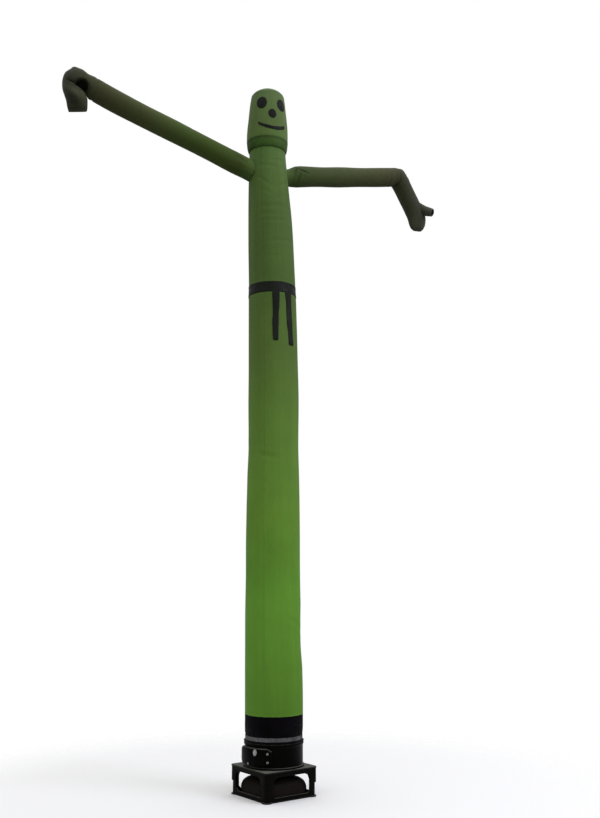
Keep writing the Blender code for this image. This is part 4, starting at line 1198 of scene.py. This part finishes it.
def in_picture(points):
    """Places of points in the picture's plane, right and up, at the hand's distance."""
    about_z = Matrix.Rotation(math.radians(LOOK_TURN), 3, "Z")
    about_x = Matrix.Rotation(math.radians(90.0 + LOOK_UP), 3, "X")
    seen = (points - np.array(EYE)) @ np.array(about_z @ about_x)
    return seen[..., 0] / -seen[..., 2] * HAND_DISTANCE, seen[..., 1] / -seen[..., 2] * HAND_DISTANCE


def wrist_fold(points):
    """The step above the wrist's crease, and the shares of the hollow, the lip and the palm."""
    right, up = in_picture(points)
    along = np.array(CREASE_RIGHT) - np.array(CREASE_LEFT)
    length = float(np.linalg.norm(along))
    along = along / length
    run = (right - CREASE_LEFT[0]) * along[0] + (up - CREASE_LEFT[1]) * along[1]
    above = (up - CREASE_LEFT[1]) * along[0] - (right - CREASE_LEFT[0]) * along[1]
    above = above - 0.010 * np.sin(np.clip(run / length, 0.0, 1.0) * np.pi)
    edge = np.clip(above / 0.006 + 0.5, 0.0, 1.0)
    ends = np.clip((run + 0.01) / 0.05, 0.0, 1.0) * np.clip((length + 0.03 - run) / 0.03, 0.0, 1.0)
    step = 0.030 * edge * np.exp(-np.clip(above, 0.0, None) / 0.028) * ends
    away = np.hypot(right - HOLLOW_MIDDLE[0], up - HOLLOW_MIDDLE[1])
    hollow = np.clip((HOLLOW_RADIUS - away) / 0.030 + 0.5, 0.0, 1.0)
    lip = swell((above + 0.042) / 0.044) * swell((run - 0.42 * length) / 0.15)
    palm = swell((above + 0.108) / 0.078) * swell((run - 0.80 * length) / 0.13)
    return step, edge * hollow**2 * (3.0 - 2.0 * hollow), lip, palm


class Sleeve:
    """The surface of an arm: a smooth line through its table's sections."""

    def __init__(self, rows, heading, creases, folded=False, seed=0):
        self.rows = {name: [row[k] for row in rows] for k, name in enumerate(ARM_COLUMN_NAMES)}
        place = np.array([(row[0], row[1], row[2]) for row in rows])
        self.path = np.concatenate([[0.0], np.cumsum(np.linalg.norm(np.diff(place, axis=0), axis=1))])
        self.ahead = np.array([heading[0], heading[1], 0.0])
        self.across = np.array([-heading[1], heading[0], 0.0])
        self.near = self.across if heading[0] < 0.0 else -self.across
        self.creases, self.folded, self.seed = creases, folded, seed

    def read(self, name, s):
        return eased(self.path, self.rows[name], s)

    def surface(self, degrees, s, lift=0.0, plain=False):
        """Points at angles round the arm (0 on top, 90 towards the viewer) and s along it."""
        degrees, s = np.broadcast_arrays(np.asarray(degrees, float), np.asarray(s, float))
        turn = np.radians(self.read("turn", s))[..., None]
        along = self.ahead * np.cos(turn) + UP * np.sin(turn)
        up = -self.ahead * np.sin(turn) + UP * np.cos(turn)
        middle = SHOULDER + self.ahead * self.read("out", s)[..., None]
        middle = middle + self.across * self.read("side", s)[..., None]
        middle = middle + UP * self.read("z", s)[..., None]
        tall, deep = self.read("tall", s), self.read("deep", s)
        dent = np.zeros(s.shape)
        a = np.radians(degrees)
        if not plain:
            firm = np.clip(deep / 0.05, 0.0, 1.0)
            u = np.radians(degrees % 360.0) * ARM_MEAN
            dent = creased(u, s, self.creases, 2.0 * math.pi * ARM_MEAN)
            dent = dent - 0.0018 * drift(ARM_MEAN * np.cos(a), s, 0.22, self.seed)
            dent = dent - 0.0018 * drift(ARM_MEAN * np.sin(a), s, 0.26, self.seed + 1)
            dent = (dent - gathers(degrees, s - 0.12, 0.06, 18, 0.0035, self.seed + 2)) * firm
        tall, deep = np.maximum(tall - dent + lift, 0.001), np.maximum(deep - dent + lift, 0.001)
        point = middle + up * (tall * np.cos(a))[..., None] + self.near * (deep * np.sin(a))[..., None]
        if self.folded and not plain:
            room = 1.7 * deep * np.clip(np.sin(a), 0.0, 1.0)
            step, hollow = wrist_fold(point)[:2]
            depth = np.minimum(step + HOLLOW_DEPTH * hollow, room)
            sight = point - np.array(EYE)
            point = point + sight / np.linalg.norm(sight, axis=-1, keepdims=True) * depth[..., None]
        return point

    def tip(self):
        """The middle of the last section."""
        return self.surface([0.0, 180.0], self.path[-1], plain=True).mean(axis=0)


raised = Sleeve(RAISED_ROWS, RAISED_HEADING, RAISED_CREASES, folded=True, seed=61)
bent = Sleeve(BENT_ROWS, BENT_HEADING, BENT_CREASES, seed=71)
print(f"arms {raised.path[-1]:.2f} m and {bent.path[-1]:.2f} m long")

# %% [markdown]
# An arm starts where it meets the tube, not at a flat cut. For each column of its grid the
# next cell walks along the sleeve until it leaves the tube's surface. That place is the
# column's first point, and the sewing line of the arm.


# %% Sew the arms
ARM_COLUMNS = 84
WRIST_ROWS = 110
WRIST_FIRST, WRIST_LAST = 11, 18
ARM_ROWS = 230
ROOT_END = 0.36


def outside_tube(points):
    """How far points are outside the tube's cloth."""
    z = points[..., 2]
    middle_x, middle_y = at_height(TUBE, "x", z), at_height(TUBE, "y", z)
    x, y = points[..., 0] - middle_x, points[..., 1] - middle_y
    skin = tube_surface(np.degrees(np.arctan2(x, -y)), z)
    return np.hypot(x, y) - np.hypot(skin[..., 0] - middle_x, skin[..., 1] - middle_y)


def make_arm(name, sleeve, node):
    """The cloth of an arm, from the tube's surface to the mitten's end."""
    degrees = np.linspace(0.0, 360.0, ARM_COLUMNS, endpoint=False)
    walk = np.linspace(0.0, ROOT_END - 0.02, 300)
    outside = outside_tube(sleeve.surface(degrees, walk[:, None]))
    first = np.argmax(outside > 0.0004, axis=0)
    root = walk[first]
    t = np.linspace(0.0, 1.0, 30, endpoint=False)[:, None]
    rooted = root + (ROOT_END - root) * t
    free = np.linspace(ROOT_END, sleeve.path[-1], ARM_ROWS)
    if sleeve.folded:
        wrist = np.linspace(sleeve.path[WRIST_FIRST], sleeve.path[WRIST_LAST], WRIST_ROWS)
        free = np.sort(np.concatenate([free[(free < wrist[0]) | (free > wrist[-1])], wrist]))
    s = np.concatenate([rooted, np.broadcast_to(free[:, None], (len(free), ARM_COLUMNS))])
    grid = sleeve.surface(degrees, s)
    # Painted shade where the arm meets the tube, and a darker band round the mitten's end seam.
    near_root = np.clip(1.0 - (s - root) / 0.014, 0.0, 1.0)
    shade = 0.06 * near_root + 0.25 * swell((s - sleeve.path[-1] + 0.020) / 0.010)
    # Painted shade in the creases, and painted light on the ridges.
    folds = creased(np.radians(degrees) * ARM_MEAN, s, sleeve.creases, 2.0 * math.pi * ARM_MEAN)
    shade = shade + 22.0 * np.clip(folds, -0.003, 0.02)
    if sleeve.folded:
        step, hollow, lip, palm = wrist_fold(sleeve.surface(degrees, s))
        facing = np.clip(np.sin(np.radians(degrees)) * 3.0, 0.0, 1.0)
        # At the wrist fold: painted shade on the step above the crease and in the hollow, a painted highlight
        # on the lip below it, and a darker palm.
        shade = shade + (9.0 * step + 0.48 * hollow - 1.15 * lip + 0.50 * palm) * facing
    shade = np.minimum(shade, 0.9)
    mesh = grid_mesh(name, grid, pole=sleeve.tip(), shade=shade)
    face_outwards(mesh)
    cloth = sheet_piece(name, mesh, arm_nylon, node, NYLON_THICK)
    size, area = cut_size(sleeve.surface(degrees, s, plain=True))
    print("cut of", name, np.round(size, 3), "area", round(area, 3))
    seam = [
        (sleeve.surface(degrees, root + 0.005, STITCH_LIFT), True),
        (sleeve.surface(ring_angles, sleeve.path[-1] - 0.016, STITCH_LIFT), True),
    ]
    sewn = stitches(name + "_stitches", seam, green_thread, "green_cloth_arm", seed=sleeve.seed)
    return cloth


raised_arm = make_arm("raised_arm_cloth", raised, "arm_raised")
bent_arm = make_arm("bent_arm_cloth", bent, "arm_bent")

# %% [markdown]
# ## The thumbs
#
# A thumb is a short open tube sewn to the side of the mitten. Each of its columns is shot
# back along the thumb until it meets the hand's cloth, and starts there.

# %% Sew the thumbs
THUMBS = [
    dict(
        name="thumb_raised", hand=raised_arm, seed=81,
        root=(-1.730, -0.070, 5.570), tip=(-1.690, 0.100, 5.610),
    ),
    dict(
        name="thumb_bent", hand=bent_arm, seed=82,
        root=(1.508, 0.455, 5.128), tip=(1.633, 0.355, 5.066),
    ),
]
THUMB_RADIUS = 0.0455
THUMB_COLUMNS, THUMB_ROWS, THUMB_HEM_ROW = 40, 26, 22
# The share of the thumb's length from its root, and its radius there in thumb radii
THUMB_SHAPE = [
    (-0.3, 1.95), (0.0, 1.60), (0.25, 1.30), (0.50, 1.06),
    (0.70, 0.94), (0.88, 0.87), (0.96, 0.82), (1.0, 0.72),
]


def hand_tree(cloth):
    """A search tree over the hand's outer surface."""
    places = [vertex.co for vertex in cloth.data.vertices]
    return BVHTree.FromPolygons(places, [tuple(face.vertices) for face in cloth.data.polygons])


def make_thumb(name, root, tip, hand, seed):
    """A short open tube from the hand's surface to its hemmed end."""
    root, tip = Vector(root), Vector(tip)
    along = (tip - root).normalized()
    side = along.cross(Vector((0.0, 0.0, 1.0))).normalized()
    up = side.cross(along)
    length = (tip - root).length
    tree = hand_tree(hand)
    turns = np.linspace(0.0, 2.0 * np.pi, THUMB_COLUMNS, endpoint=False)
    grid = np.zeros((THUMB_ROWS, THUMB_COLUMNS, 3))
    shares, sizes = zip(*THUMB_SHAPE)
    walk = np.linspace(1.0, shares[0], 120)
    widths = THUMB_RADIUS * eased(shares, sizes, walk)
    for k, a in enumerate(turns):
        out = up * math.cos(a) + side * math.sin(a)
        trail = [root + along * (length * t) + out * width for t, width in zip(walk, widths)]
        reach = 0.0
        for before, after, t in zip(trail, trail[1:], walk):
            hit = tree.ray_cast(before, (after - before).normalized(), (after - before).length)[0]
            if hit:
                reach = t + 0.008
                break
        for row, t in enumerate(np.linspace(0.0, 1.0, THUMB_ROWS)):
            share = reach + (1.0 - reach) * t
            ripple = 0.0012 * math.sin(3 * a + seed) + 0.0010 * math.sin(5 * a + 9.0 * t)
            width = THUMB_RADIUS * float(eased(shares, sizes, share)) + ripple * t
            grid[row, k] = root + along * (length * share) + out * width
    shade = np.linspace(0.0, 1.0, THUMB_ROWS)[:, None] ** 8 * 0.25
    mesh = grid_mesh(name + "_cloth", grid, shade=shade)
    face_outwards(mesh)
    cloth = sheet_piece(name + "_cloth", mesh, arm_nylon, name, HEM_THICK)
    hem_ring = grid[THUMB_HEM_ROW]
    hem = [(hem_ring + (hem_ring - hem_ring.mean(axis=0)) * 0.004, True)]
    sewn = stitches(name + "_stitches", hem, green_thread, "green_cloth_arm", seed=seed)


for thumb in THUMBS:
    make_thumb(**thumb)

# %% [markdown]
# ## The cuff and its strap
#
# The foot of the tube ends in a cuff of strong black cloth. A grey strap draws it in on the
# neck of the fan drum. Above the strap the cloth stands in pleats; below it, what is left
# over makes a short wavy skirt.

# %% Gather the cuff
CUFF = [
    dict(z=0.4100, radius=0.2360),
    dict(z=0.4225, radius=0.2215),
    dict(z=0.4525, radius=0.2215),
    dict(z=0.4750, radius=0.2250),
    dict(z=0.5300, radius=0.2275),
    dict(z=0.6072, radius=0.2275),
]
CUFF_MEAN = CUFF[-1]["radius"]
STRAP_LOW, STRAP_HIGH, STRAP_THICK = 0.4225, 0.4525, 0.003
CUFF_CREASES = [
    (0.080, 0.560, 24.0, 0.10, 0.014, 0.0028),
    (-0.060, 0.540, -30.0, 0.08, 0.014, 0.0024),
    (0.160, 0.530, -12.0, 0.09, 0.014, 0.0028),
    (-0.200, 0.560, 14.0, 0.10, 0.016, 0.0028),
    (0.020, 0.500, 8.0, 0.09, 0.012, 0.0020),
    (0.500, 0.550, -18.0, 0.12, 0.016, 0.0028),
]


def cuff_surface(angle, z, plain=False):
    """Points on the cuff's outer face."""
    angle, z = np.broadcast_arrays(np.asarray(angle, float), np.asarray(z, float))
    radius = at_height(CUFF, "radius", z)
    if not plain:
        above = np.clip(z - STRAP_HIGH, 0.0, None)
        pleats = np.clip(above / 0.012, 0.0, 1.0) * gathers(angle, above, 0.045, 38, 0.0034, 91)
        below = np.clip((STRAP_LOW - z) / 0.0125, 0.0, 1.0)
        skirt = below * (gathers(angle, 0.0 * z, 1.0, 21, 0.0042, 92) - 0.001)
        calm = np.clip((CUFF[-1]["z"] - z) / 0.02, 0.0, 1.0) * np.clip(above / 0.01, 0.0, 1.0)
        u = np.radians(wrapped(angle)) * CUFF_MEAN
        radius = radius + pleats + skirt - calm * creased(u, z, CUFF_CREASES, 2.0 * math.pi * CUFF_MEAN)
        upper = gathers(angle, CUFF[-1]["z"] - z, 0.035, 46, 0.0022, 11)
        radius = radius + upper * np.clip(above / 0.02, 0.0, 1.0)
    return round_points(0.0, 0.0, radius, angle, z)


cuff_angles = np.linspace(0.0, 360.0, 220, endpoint=False)
cuff_rows = np.concatenate([
    np.linspace(CUFF[0]["z"], STRAP_LOW, 8, endpoint=False),
    np.linspace(STRAP_LOW, STRAP_HIGH, 5, endpoint=False),
    np.linspace(STRAP_HIGH, CUFF[-1]["z"], 46),
])
angles, heights = np.meshgrid(cuff_angles, cuff_rows)
cuff_mesh = grid_mesh("cuff_cloth", cuff_surface(angles, heights))
face_outwards(cuff_mesh)
cuff_cloth = sheet_piece("cuff_cloth", cuff_mesh, cuff_nylon, "base_cuff", HEM_THICK)
cuff_cut, cuff_area = cut_size(cuff_surface(angles, heights, plain=True))
print("cut of the cuff:", np.round(cuff_cut, 3), "area", round(cuff_area, 3))

# %% [markdown]
# The strap, the drum and the motor cover are all the same idea: a section carried round an
# upright axis. A second tree does that. It takes the section as a line of edges, turns it
# into a curve, and sweeps it round a circle of the given radius.


# %% The hoop tree
HOOP_RADIUS = 0.20


def make_hoop_tree():
    """A section of edges, x outwards from the hoop's radius and y down, swept round the axis."""
    tree, start, end = new_tree("hoop", [
        ("Section", "NodeSocketGeometry", None),
        ("Radius", "NodeSocketFloat", HOOP_RADIUS),
        ("Sides", "NodeSocketInt", 160),
        ("Finish", "NodeSocketMaterial", None),
    ])
    given = start.outputs
    rim = {"Resolution": given["Sides"], "Radius": given["Radius"]}
    circle = add_node(tree, "GeometryNodeCurvePrimitiveCircle", rim)
    section = add_node(tree, "GeometryNodeMeshToCurve", {"Mesh": given["Section"]})
    sweep = {"Curve": circle.outputs[0], "Profile Curve": section.outputs[0]}
    swept = add_node(tree, "GeometryNodeCurveToMesh", sweep)
    end_tree(tree, swept, given["Finish"], end)
    return tree


hoop_tree = make_hoop_tree()


def hoop(name, section, finish, sides=160, sharp=35.0):
    """The mesh of a section of (radius, height) points carried round the axis."""
    line = [(radius - HOOP_RADIUS, -z, 0.0) for radius, z in section]
    inputs = dict(radius=HOOP_RADIUS, sides=sides, finish=finish)
    mesh = run_tree(hoop_tree, name + "_section", line_mesh([(line, True)]), **inputs)
    reach = max(math.hypot(v.co.x, v.co.y) for v in mesh.vertices)
    print(f"{name}: outermost radius {reach:.4f}, asked {max(r for r, z in section):.4f}")
    face_outwards(mesh)
    mesh.shade_smooth()
    mesh.set_sharp_from_angle(angle=math.radians(sharp))
    return mesh


# %% Sweep the strap
strap_in = CUFF[1]["radius"] + 0.0004
strap_out = strap_in + STRAP_THICK
strap_section = [
    (strap_in, STRAP_LOW), (strap_out - 0.001, STRAP_LOW), (strap_out, STRAP_LOW + 0.001),
    (strap_out, STRAP_LOW + 0.004), (strap_out - 0.0004, STRAP_LOW + 0.006),
    (strap_out - 0.0004, STRAP_HIGH - 0.006), (strap_out, STRAP_HIGH - 0.004),
    (strap_out, STRAP_HIGH - 0.001), (strap_out - 0.001, STRAP_HIGH), (strap_in, STRAP_HIGH),
]
strap_mesh = hoop("webbing_strap", strap_section, grey_webbing)
layer = strap_mesh.uv_layers.get("cloth") or strap_mesh.uv_layers.new(name="cloth")
for polygon in strap_mesh.polygons:
    for corner in polygon.loop_indices:
        x, y, z = strap_mesh.vertices[strap_mesh.loops[corner].vertex_index].co
        layer.data[corner].uv = (math.atan2(x, -y) * strap_out, z)
strap = add_object("webbing_strap", strap_mesh, grey_webbing)
settle(strap, ["cuff_strap"])

# %% [markdown]
# ## The blower
#
# Below the cuff is the housing: a round drum with a rolled bead, a square plate, a base
# with an arch in each side for the air, and the rounded cover of the motor inside. The
# drum and the cover are swept. The square parts keep their CAD shape exactly: a copy of
# each is merged, its flat faces are joined, and a bevel rounds its edges as a mould does.

# %% Sweep the drum
DRUM_SECTION = [
    (0.2370, 0.2213), (0.2370, 0.2320), (0.2362, 0.2333), (0.2300, 0.2350), (0.2280, 0.2368),
    (0.2275, 0.2395), (0.2275, 0.3780), (0.2282, 0.3810), (0.2310, 0.3845), (0.2325, 0.3880),
    (0.2330, 0.3940), (0.2325, 0.4000), (0.2308, 0.4035), (0.2275, 0.4060), (0.2215, 0.4085),
    (0.2195, 0.4100), (0.2188, 0.4130), (0.2188, 0.4680), (0.2180, 0.4700), (0.2164, 0.4700),
    (0.2158, 0.4690), (0.2158, 0.2213),
]
drum_mesh = hoop("drum", DRUM_SECTION, drum_shell, sides=176)
settle(add_object("drum", drum_mesh, drum_shell), ["fan_drum"])

# %% [markdown]
# The motor's cover is swept too, and then pressed out into a rounded square that stands as
# the base does. A ring's reach at an angle follows a curve between a circle and a square.

# %% Sweep the motor cover
COVER_ROWS = [
    (0.0083, 0.214), (0.036, 0.216), (0.072, 0.214), (0.104, 0.203),
    (0.128, 0.178), (0.146, 0.130), (0.156, 0.070),
]
COVER_SQUARE, BASE_TURN = 4.0, 20.5
cover_z, cover_radius = zip(*COVER_ROWS)
level = np.linspace(cover_z[0], cover_z[-1], 40)
section = list(zip(eased(cover_z, cover_radius, level).tolist(), level.tolist()))
section += [(0.045, 0.1580), (0.020, 0.1590), (0.0005, 0.1590), (0.0005, cover_z[0])]
cover_mesh = hoop("motor_dome", section, motor_shell, sides=120)
for vertex in cover_mesh.vertices:
    away = math.atan2(vertex.co.x, -vertex.co.y) - math.radians(BASE_TURN)
    spread = abs(math.cos(away)) ** COVER_SQUARE + abs(math.sin(away)) ** COVER_SQUARE
    vertex.co.xy = vertex.co.xy * spread ** (-1.0 / COVER_SQUARE)
settle(add_object("motor_dome", cover_mesh, motor_shell), ["motor_cover"])


# %% Round the moulded parts
def moulded(node, name, width, finish, dissolve=1.0, limit=25.0):
    """A merged copy of a CAD node with its edges rounded as a mould rounds them."""
    bm = bmesh.new()
    bm.from_mesh(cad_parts[node].data)
    bmesh.ops.remove_doubles(bm, verts=bm.verts, dist=0.00002)
    bmesh.ops.dissolve_limit(bm, angle_limit=math.radians(dissolve), verts=bm.verts, edges=bm.edges)
    mesh = bpy.data.meshes.new(name)
    bm.to_mesh(mesh)
    bm.free()
    mesh.shade_smooth()
    made = add_object(name, mesh, finish)
    soft = made.modifiers.new("rounding", "BEVEL")
    soft.width = width
    soft.segments = 3
    soft.limit_method = "ANGLE"
    soft.angle_limit = math.radians(limit)
    soft.harden_normals = True
    settle(made, [node])
    print(f"{name}: {len(mesh.polygons)} faces before rounding")
    return made


moulded("base_frame", "base_shell", 0.0030, black_shell)
moulded("base_plate", "top_plate", 0.0030, plate_shell)
moulded("base_pan", "bottom_pan", 0.0020, black_shell)
moulded("control_box", "switch_box", 0.0030, drum_shell, dissolve=0.4)

# %% [markdown]
# ## Screws and switch
#
# Three screws hold the cover of the switch box. One head is modelled with its cross slot,
# and a small tree sets a copy on each marked point, turned out along the point's normal
# and spun by a random angle, as hand-driven screws are.

# %% The screw tree
DRUM_FACETS = 40
BOX_START = -99.0
BOX_FACE_RADIUS = 0.2525 * math.cos(math.radians(4.5))
SCREWS = [dict(angle=-26.0, z=0.343), dict(angle=-25.6, z=0.281), dict(angle=-66.0, z=0.262)]
SCREW_RADIUS, SCREW_TALL, SCREW_SIDES = 0.0095, 0.005, 32


def box_seat(angle, z):
    """A point on the flat facet of the switch box at this angle, with its outward normal."""
    facet = 360.0 / DRUM_FACETS
    face = BOX_START + facet * (math.floor((angle - BOX_START) / facet) + 0.5)
    a = math.radians(face)
    out = Vector((math.sin(a), -math.cos(a), 0.0))
    side = Vector((math.cos(a), math.sin(a), 0.0))
    along = BOX_FACE_RADIUS * math.tan(math.radians(angle - face))
    point = out * (BOX_FACE_RADIUS + 0.0003) + side * along
    return point + Vector((0.0, 0.0, z)), out, side


def join_rings(bm, rings):
    """Faces from ring to ring, with both ends closed."""
    count = len(rings[0])
    for low, high in zip(rings, rings[1:]):
        for k in range(count):
            after = (k + 1) % count
            bm.faces.new((low[k], low[after], high[after], high[k]))
    bm.faces.new(rings[-1])
    bm.faces.new(list(reversed(rings[0])))


def screw_head():
    """A pan head with a cross slot, its seat at the origin and its top along +Z."""
    bm = bmesh.new()
    profile = [(1.0, 0.0), (1.0, 0.35), (0.94, 0.62), (0.78, 0.84), (0.52, 0.97), (0.26, 1.0)]
    rings = []
    for radius, height in profile:
        ring = []
        for k in range(SCREW_SIDES):
            a = 2.0 * math.pi * k / SCREW_SIDES
            r = radius * SCREW_RADIUS
            ring.append(bm.verts.new((r * math.cos(a), r * math.sin(a), height * SCREW_TALL)))
        rings.append(ring)
    join_rings(bm, rings)
    mesh = bpy.data.meshes.new("screw_head")
    bm.to_mesh(mesh)
    bm.free()
    head = bpy.data.objects.new("screw_head", mesh)
    scene.collection.objects.link(head)
    for turn in (0.0, 90.0):
        bpy.ops.mesh.primitive_cube_add(size=1.0, location=(0.0, 0.0, SCREW_TALL))
        slot = bpy.context.object
        slot.scale = (SCREW_RADIUS * 1.1, SCREW_RADIUS * 0.24, SCREW_TALL * 0.9)
        slot.rotation_euler.z = math.radians(turn)
        cut = head.modifiers.new("slot", "BOOLEAN")
        cut.object = slot
        cut.solver = "EXACT"
        mesh = evaluated_mesh(head)
        head.modifiers.clear()
        head.data = mesh
        bpy.data.objects.remove(slot)
    head.data.shade_smooth()
    head.data.set_sharp_from_angle(angle=math.radians(40.0))
    return head


def make_screw_tree(head):
    """Points with normals in, a screw head on each out."""
    tree, start, end = new_tree("screws", [
        ("Seats", "NodeSocketGeometry", None),
        ("Size", "NodeSocketFloat", 1.0),
        ("Seed", "NodeSocketInt", 5),
        ("Metal", "NodeSocketMaterial", None),
    ])
    given = start.outputs
    points = add_node(tree, "GeometryNodeMeshToPoints", {"Mesh": given["Seats"]}, mode="FACES")
    normal = add_node(tree, "GeometryNodeInputNamedAttribute", {"Name": "out"}, data_type="FLOAT_VECTOR")
    way = {"Vector": normal.outputs[0]}
    turn = add_node(tree, "FunctionNodeAlignRotationToVector", way, axis="Z")
    between = {2: 0.0, 3: 3.14, "Seed": given["Seed"]}
    spin = add_node(tree, "FunctionNodeRandomValue", between, data_type="FLOAT")
    own_turn = {"Axis": (0.0, 0.0, 1.0), "Angle": spin.outputs[1]}
    about = add_node(tree, "FunctionNodeAxisAngleToRotation", own_turn)
    turns = {0: turn.outputs[0], 1: about.outputs[0]}
    both = add_node(tree, "FunctionNodeRotateRotation", turns, rotation_space="LOCAL")
    shape = add_node(tree, "GeometryNodeObjectInfo", {"Object": head})
    placed = add_node(tree, "GeometryNodeInstanceOnPoints", {
        "Points": points.outputs[0],
        "Instance": shape.outputs["Geometry"],
        "Rotation": both.outputs[0],
        "Scale": given["Size"],
    })
    end_tree(tree, placed, given["Metal"], end)
    return tree


# %% Set the screws
seat_points, seat_faces, outs = [], [], []
for screw in SCREWS:
    point, out, side = box_seat(screw["angle"], screw["z"])
    up = out.cross(side)
    first = len(seat_points)
    for degrees in (90.0, 210.0, 330.0):
        a = math.radians(degrees)
        seat_points.append(point + (side * math.cos(a) + up * math.sin(a)) * 0.002)
    seat_faces.append((first, first + 1, first + 2))
    outs += list(out)
seats = bpy.data.meshes.new("screw_seats")
seats.from_pydata(seat_points, [], seat_faces)
seats.attributes.new("out", "FLOAT_VECTOR", "FACE").data.foreach_set("vector", outs)
head_object = screw_head()
screw_tree = make_screw_tree(head_object)
screw_mesh = run_tree(screw_tree, "box_screws_seats", seats, metal=zinc_steel, size=1.0, seed=5)
bpy.data.objects.remove(head_object)
screws = add_object("box_screws", screw_mesh, zinc_steel)
settle(screws, ["cover_screw_1", "cover_screw_2", "cover_screw_3"])
print("screws:", len(screw_mesh.polygons), "faces")

# %% [markdown]
# The switch is a rocker in an oval collar. The collar is a ring of ovals stepping out from
# the box and back in; the rocker is a second, smaller oval whose face tips to one side.

# %% The switch
SWITCH_ANGLE, SWITCH_Z = -49.5, 0.348
SWITCH_HALF_WIDE, SWITCH_HALF_TALL = 0.015, 0.024
SWITCH_SIDES = 40
seat, out, side = box_seat(SWITCH_ANGLE, SWITCH_Z)
bm = bmesh.new()


def switch_ring(size, distance, tip=0.0):
    """An oval ring of the switch, tipped so that its top stands out further."""
    ring = []
    for k in range(SWITCH_SIDES):
        a = 2.0 * math.pi * k / SWITCH_SIDES
        point = seat + side * (SWITCH_HALF_WIDE * size * math.cos(a))
        point = point + Vector((0.0, 0.0, SWITCH_HALF_TALL * size * math.sin(a)))
        ring.append(bm.verts.new(point + out * (distance + tip * math.sin(a))))
    return ring


# Each oval's size, its distance from the box and how far its top tips out
SWITCH_PROFILE = [
    (1.00, 0.0), (1.00, 0.0045), (0.96, 0.0062), (0.84, 0.0066), (0.76, 0.0056),
    (0.72, 0.0030), (0.66, 0.0030), (0.66, 0.0085, 0.0022), (0.60, 0.0096, 0.0024), (0.30, 0.0092, 0.0012),
]
join_rings(bm, [switch_ring(*row) for row in SWITCH_PROFILE])
bmesh.ops.recalc_face_normals(bm, faces=bm.faces)
switch_mesh = bpy.data.meshes.new("rocker_switch")
bm.to_mesh(switch_mesh)
bm.free()
switch_mesh.shade_smooth()
switch_mesh.set_sharp_from_angle(angle=math.radians(50.0))
settle(add_object("rocker_switch", switch_mesh, switch_grey), ["control_switch"])
print("switch:", len(switch_mesh.polygons), "faces")

# %% [markdown]
# ## Floor and light
#
# The dancer stands on a plain pale floor. It was out under an even, overcast sky, which
# lights from above and leaves the undersides of the arms dark. A studio does the same with
# soft light overhead: here a world that is bright above and dim below, with one large lamp
# in front on the right. The camera sees plain white behind the dancer, and the floor fades
# out at its edge, so that no horizon line crosses the picture.

# %% Floor
FLOOR_RADIUS = 3.4
bm = bmesh.new()
bmesh.ops.create_circle(bm, cap_ends=True, segments=96, radius=FLOOR_RADIUS)
floor_mesh = bpy.data.meshes.new("floor")
bm.to_mesh(floor_mesh)
bm.free()
floor_mesh.transform(Matrix.Translation((0.0, 0.0, -0.0008)))
floor_paint = Paint("pale_floor", 0.9)
centre = floor_paint.node("ShaderNodeTexCoord").outputs["Object"]
distance = floor_paint.node("ShaderNodeVectorMath", {0: centre}, operation="LENGTH").outputs["Value"]
fade = floor_paint.span(distance, FLOOR_RADIUS * 0.55, FLOOR_RADIUS * 0.98, 1.0, 0.0)
floor_paint.shader.inputs["Base Color"].default_value = (0.97, 0.97, 0.97, 1.0)
floor_paint.shader.inputs["Specular IOR Level"].default_value = 0.1
floor_paint.tree.links.new(fade, floor_paint.shader.inputs["Alpha"])
floor = add_object("floor", floor_mesh, floor_paint.material)

# %% Sky and soft lights
SKY_ABOVE, SKY_LEVEL, SKY_BELOW = 1.05, 0.54, 0.10
world = bpy.data.worlds.new("soft_sky")
scene.world = world
world.use_nodes = True
sky = world.node_tree
sky.nodes.clear()
direction = add_node(sky, "ShaderNodeTexCoord").outputs["Generated"]
height = add_node(sky, "ShaderNodeSeparateXYZ", {0: direction}).outputs["Z"]
share = add_node(sky, "ShaderNodeMapRange", {0: height, 1: -1.0, 2: 1.0}).outputs[0]
ramp = add_node(sky, "ShaderNodeValToRGB", {0: share})
line = ramp.color_ramp
line.elements[0].position = 0.44
line.elements[0].color = (SKY_BELOW, SKY_BELOW, SKY_BELOW, 1.0)
line.elements[1].color = (SKY_ABOVE, SKY_ABOVE, SKY_ABOVE, 1.0)
line.elements.new(0.52).color = (SKY_LEVEL, SKY_LEVEL, SKY_LEVEL, 1.0)
light = add_node(sky, "ShaderNodeBackground", {0: ramp.outputs[0], 1: 1.0})
white = add_node(sky, "ShaderNodeBackground", {0: (1.0, 1.0, 1.0, 1.0), 1: 1.0})
ray = add_node(sky, "ShaderNodeLightPath")
choice = {0: ray.outputs["Is Camera Ray"], 1: light.outputs[0], 2: white.outputs[0]}
both = add_node(sky, "ShaderNodeMixShader", choice)
add_node(sky, "ShaderNodeOutputWorld", {0: both.outputs[0]})


def soft_light(name, place, aim, size, power, colour):
    """A large square light that looks at a point."""
    data = bpy.data.lights.new(name, "AREA")
    data.size, data.energy, data.color = size, power, colour
    made = bpy.data.objects.new(name, data)
    scene.collection.objects.link(made)
    made.location = place
    made.rotation_euler = (Vector(aim) - Vector(place)).to_track_quat("-Z", "Y").to_euler()
    return made


soft_light("key_light", (5.5, -5.0, 8.0), (0.0, 0.0, 3.2), 4.0, 220.0, (0.98, 0.98, 1.20))
scene.view_settings.view_transform = "Standard"
print("sky and lights ready")

# %% [markdown]
# ## Finish
#
# The last cell holds a helper that gives a box as rounded numbers.

# %% A helper for boxes
def plain(box):
    """A box as rounded numbers."""
    return [[round(float(v), 5) for v in corner] for corner in box]
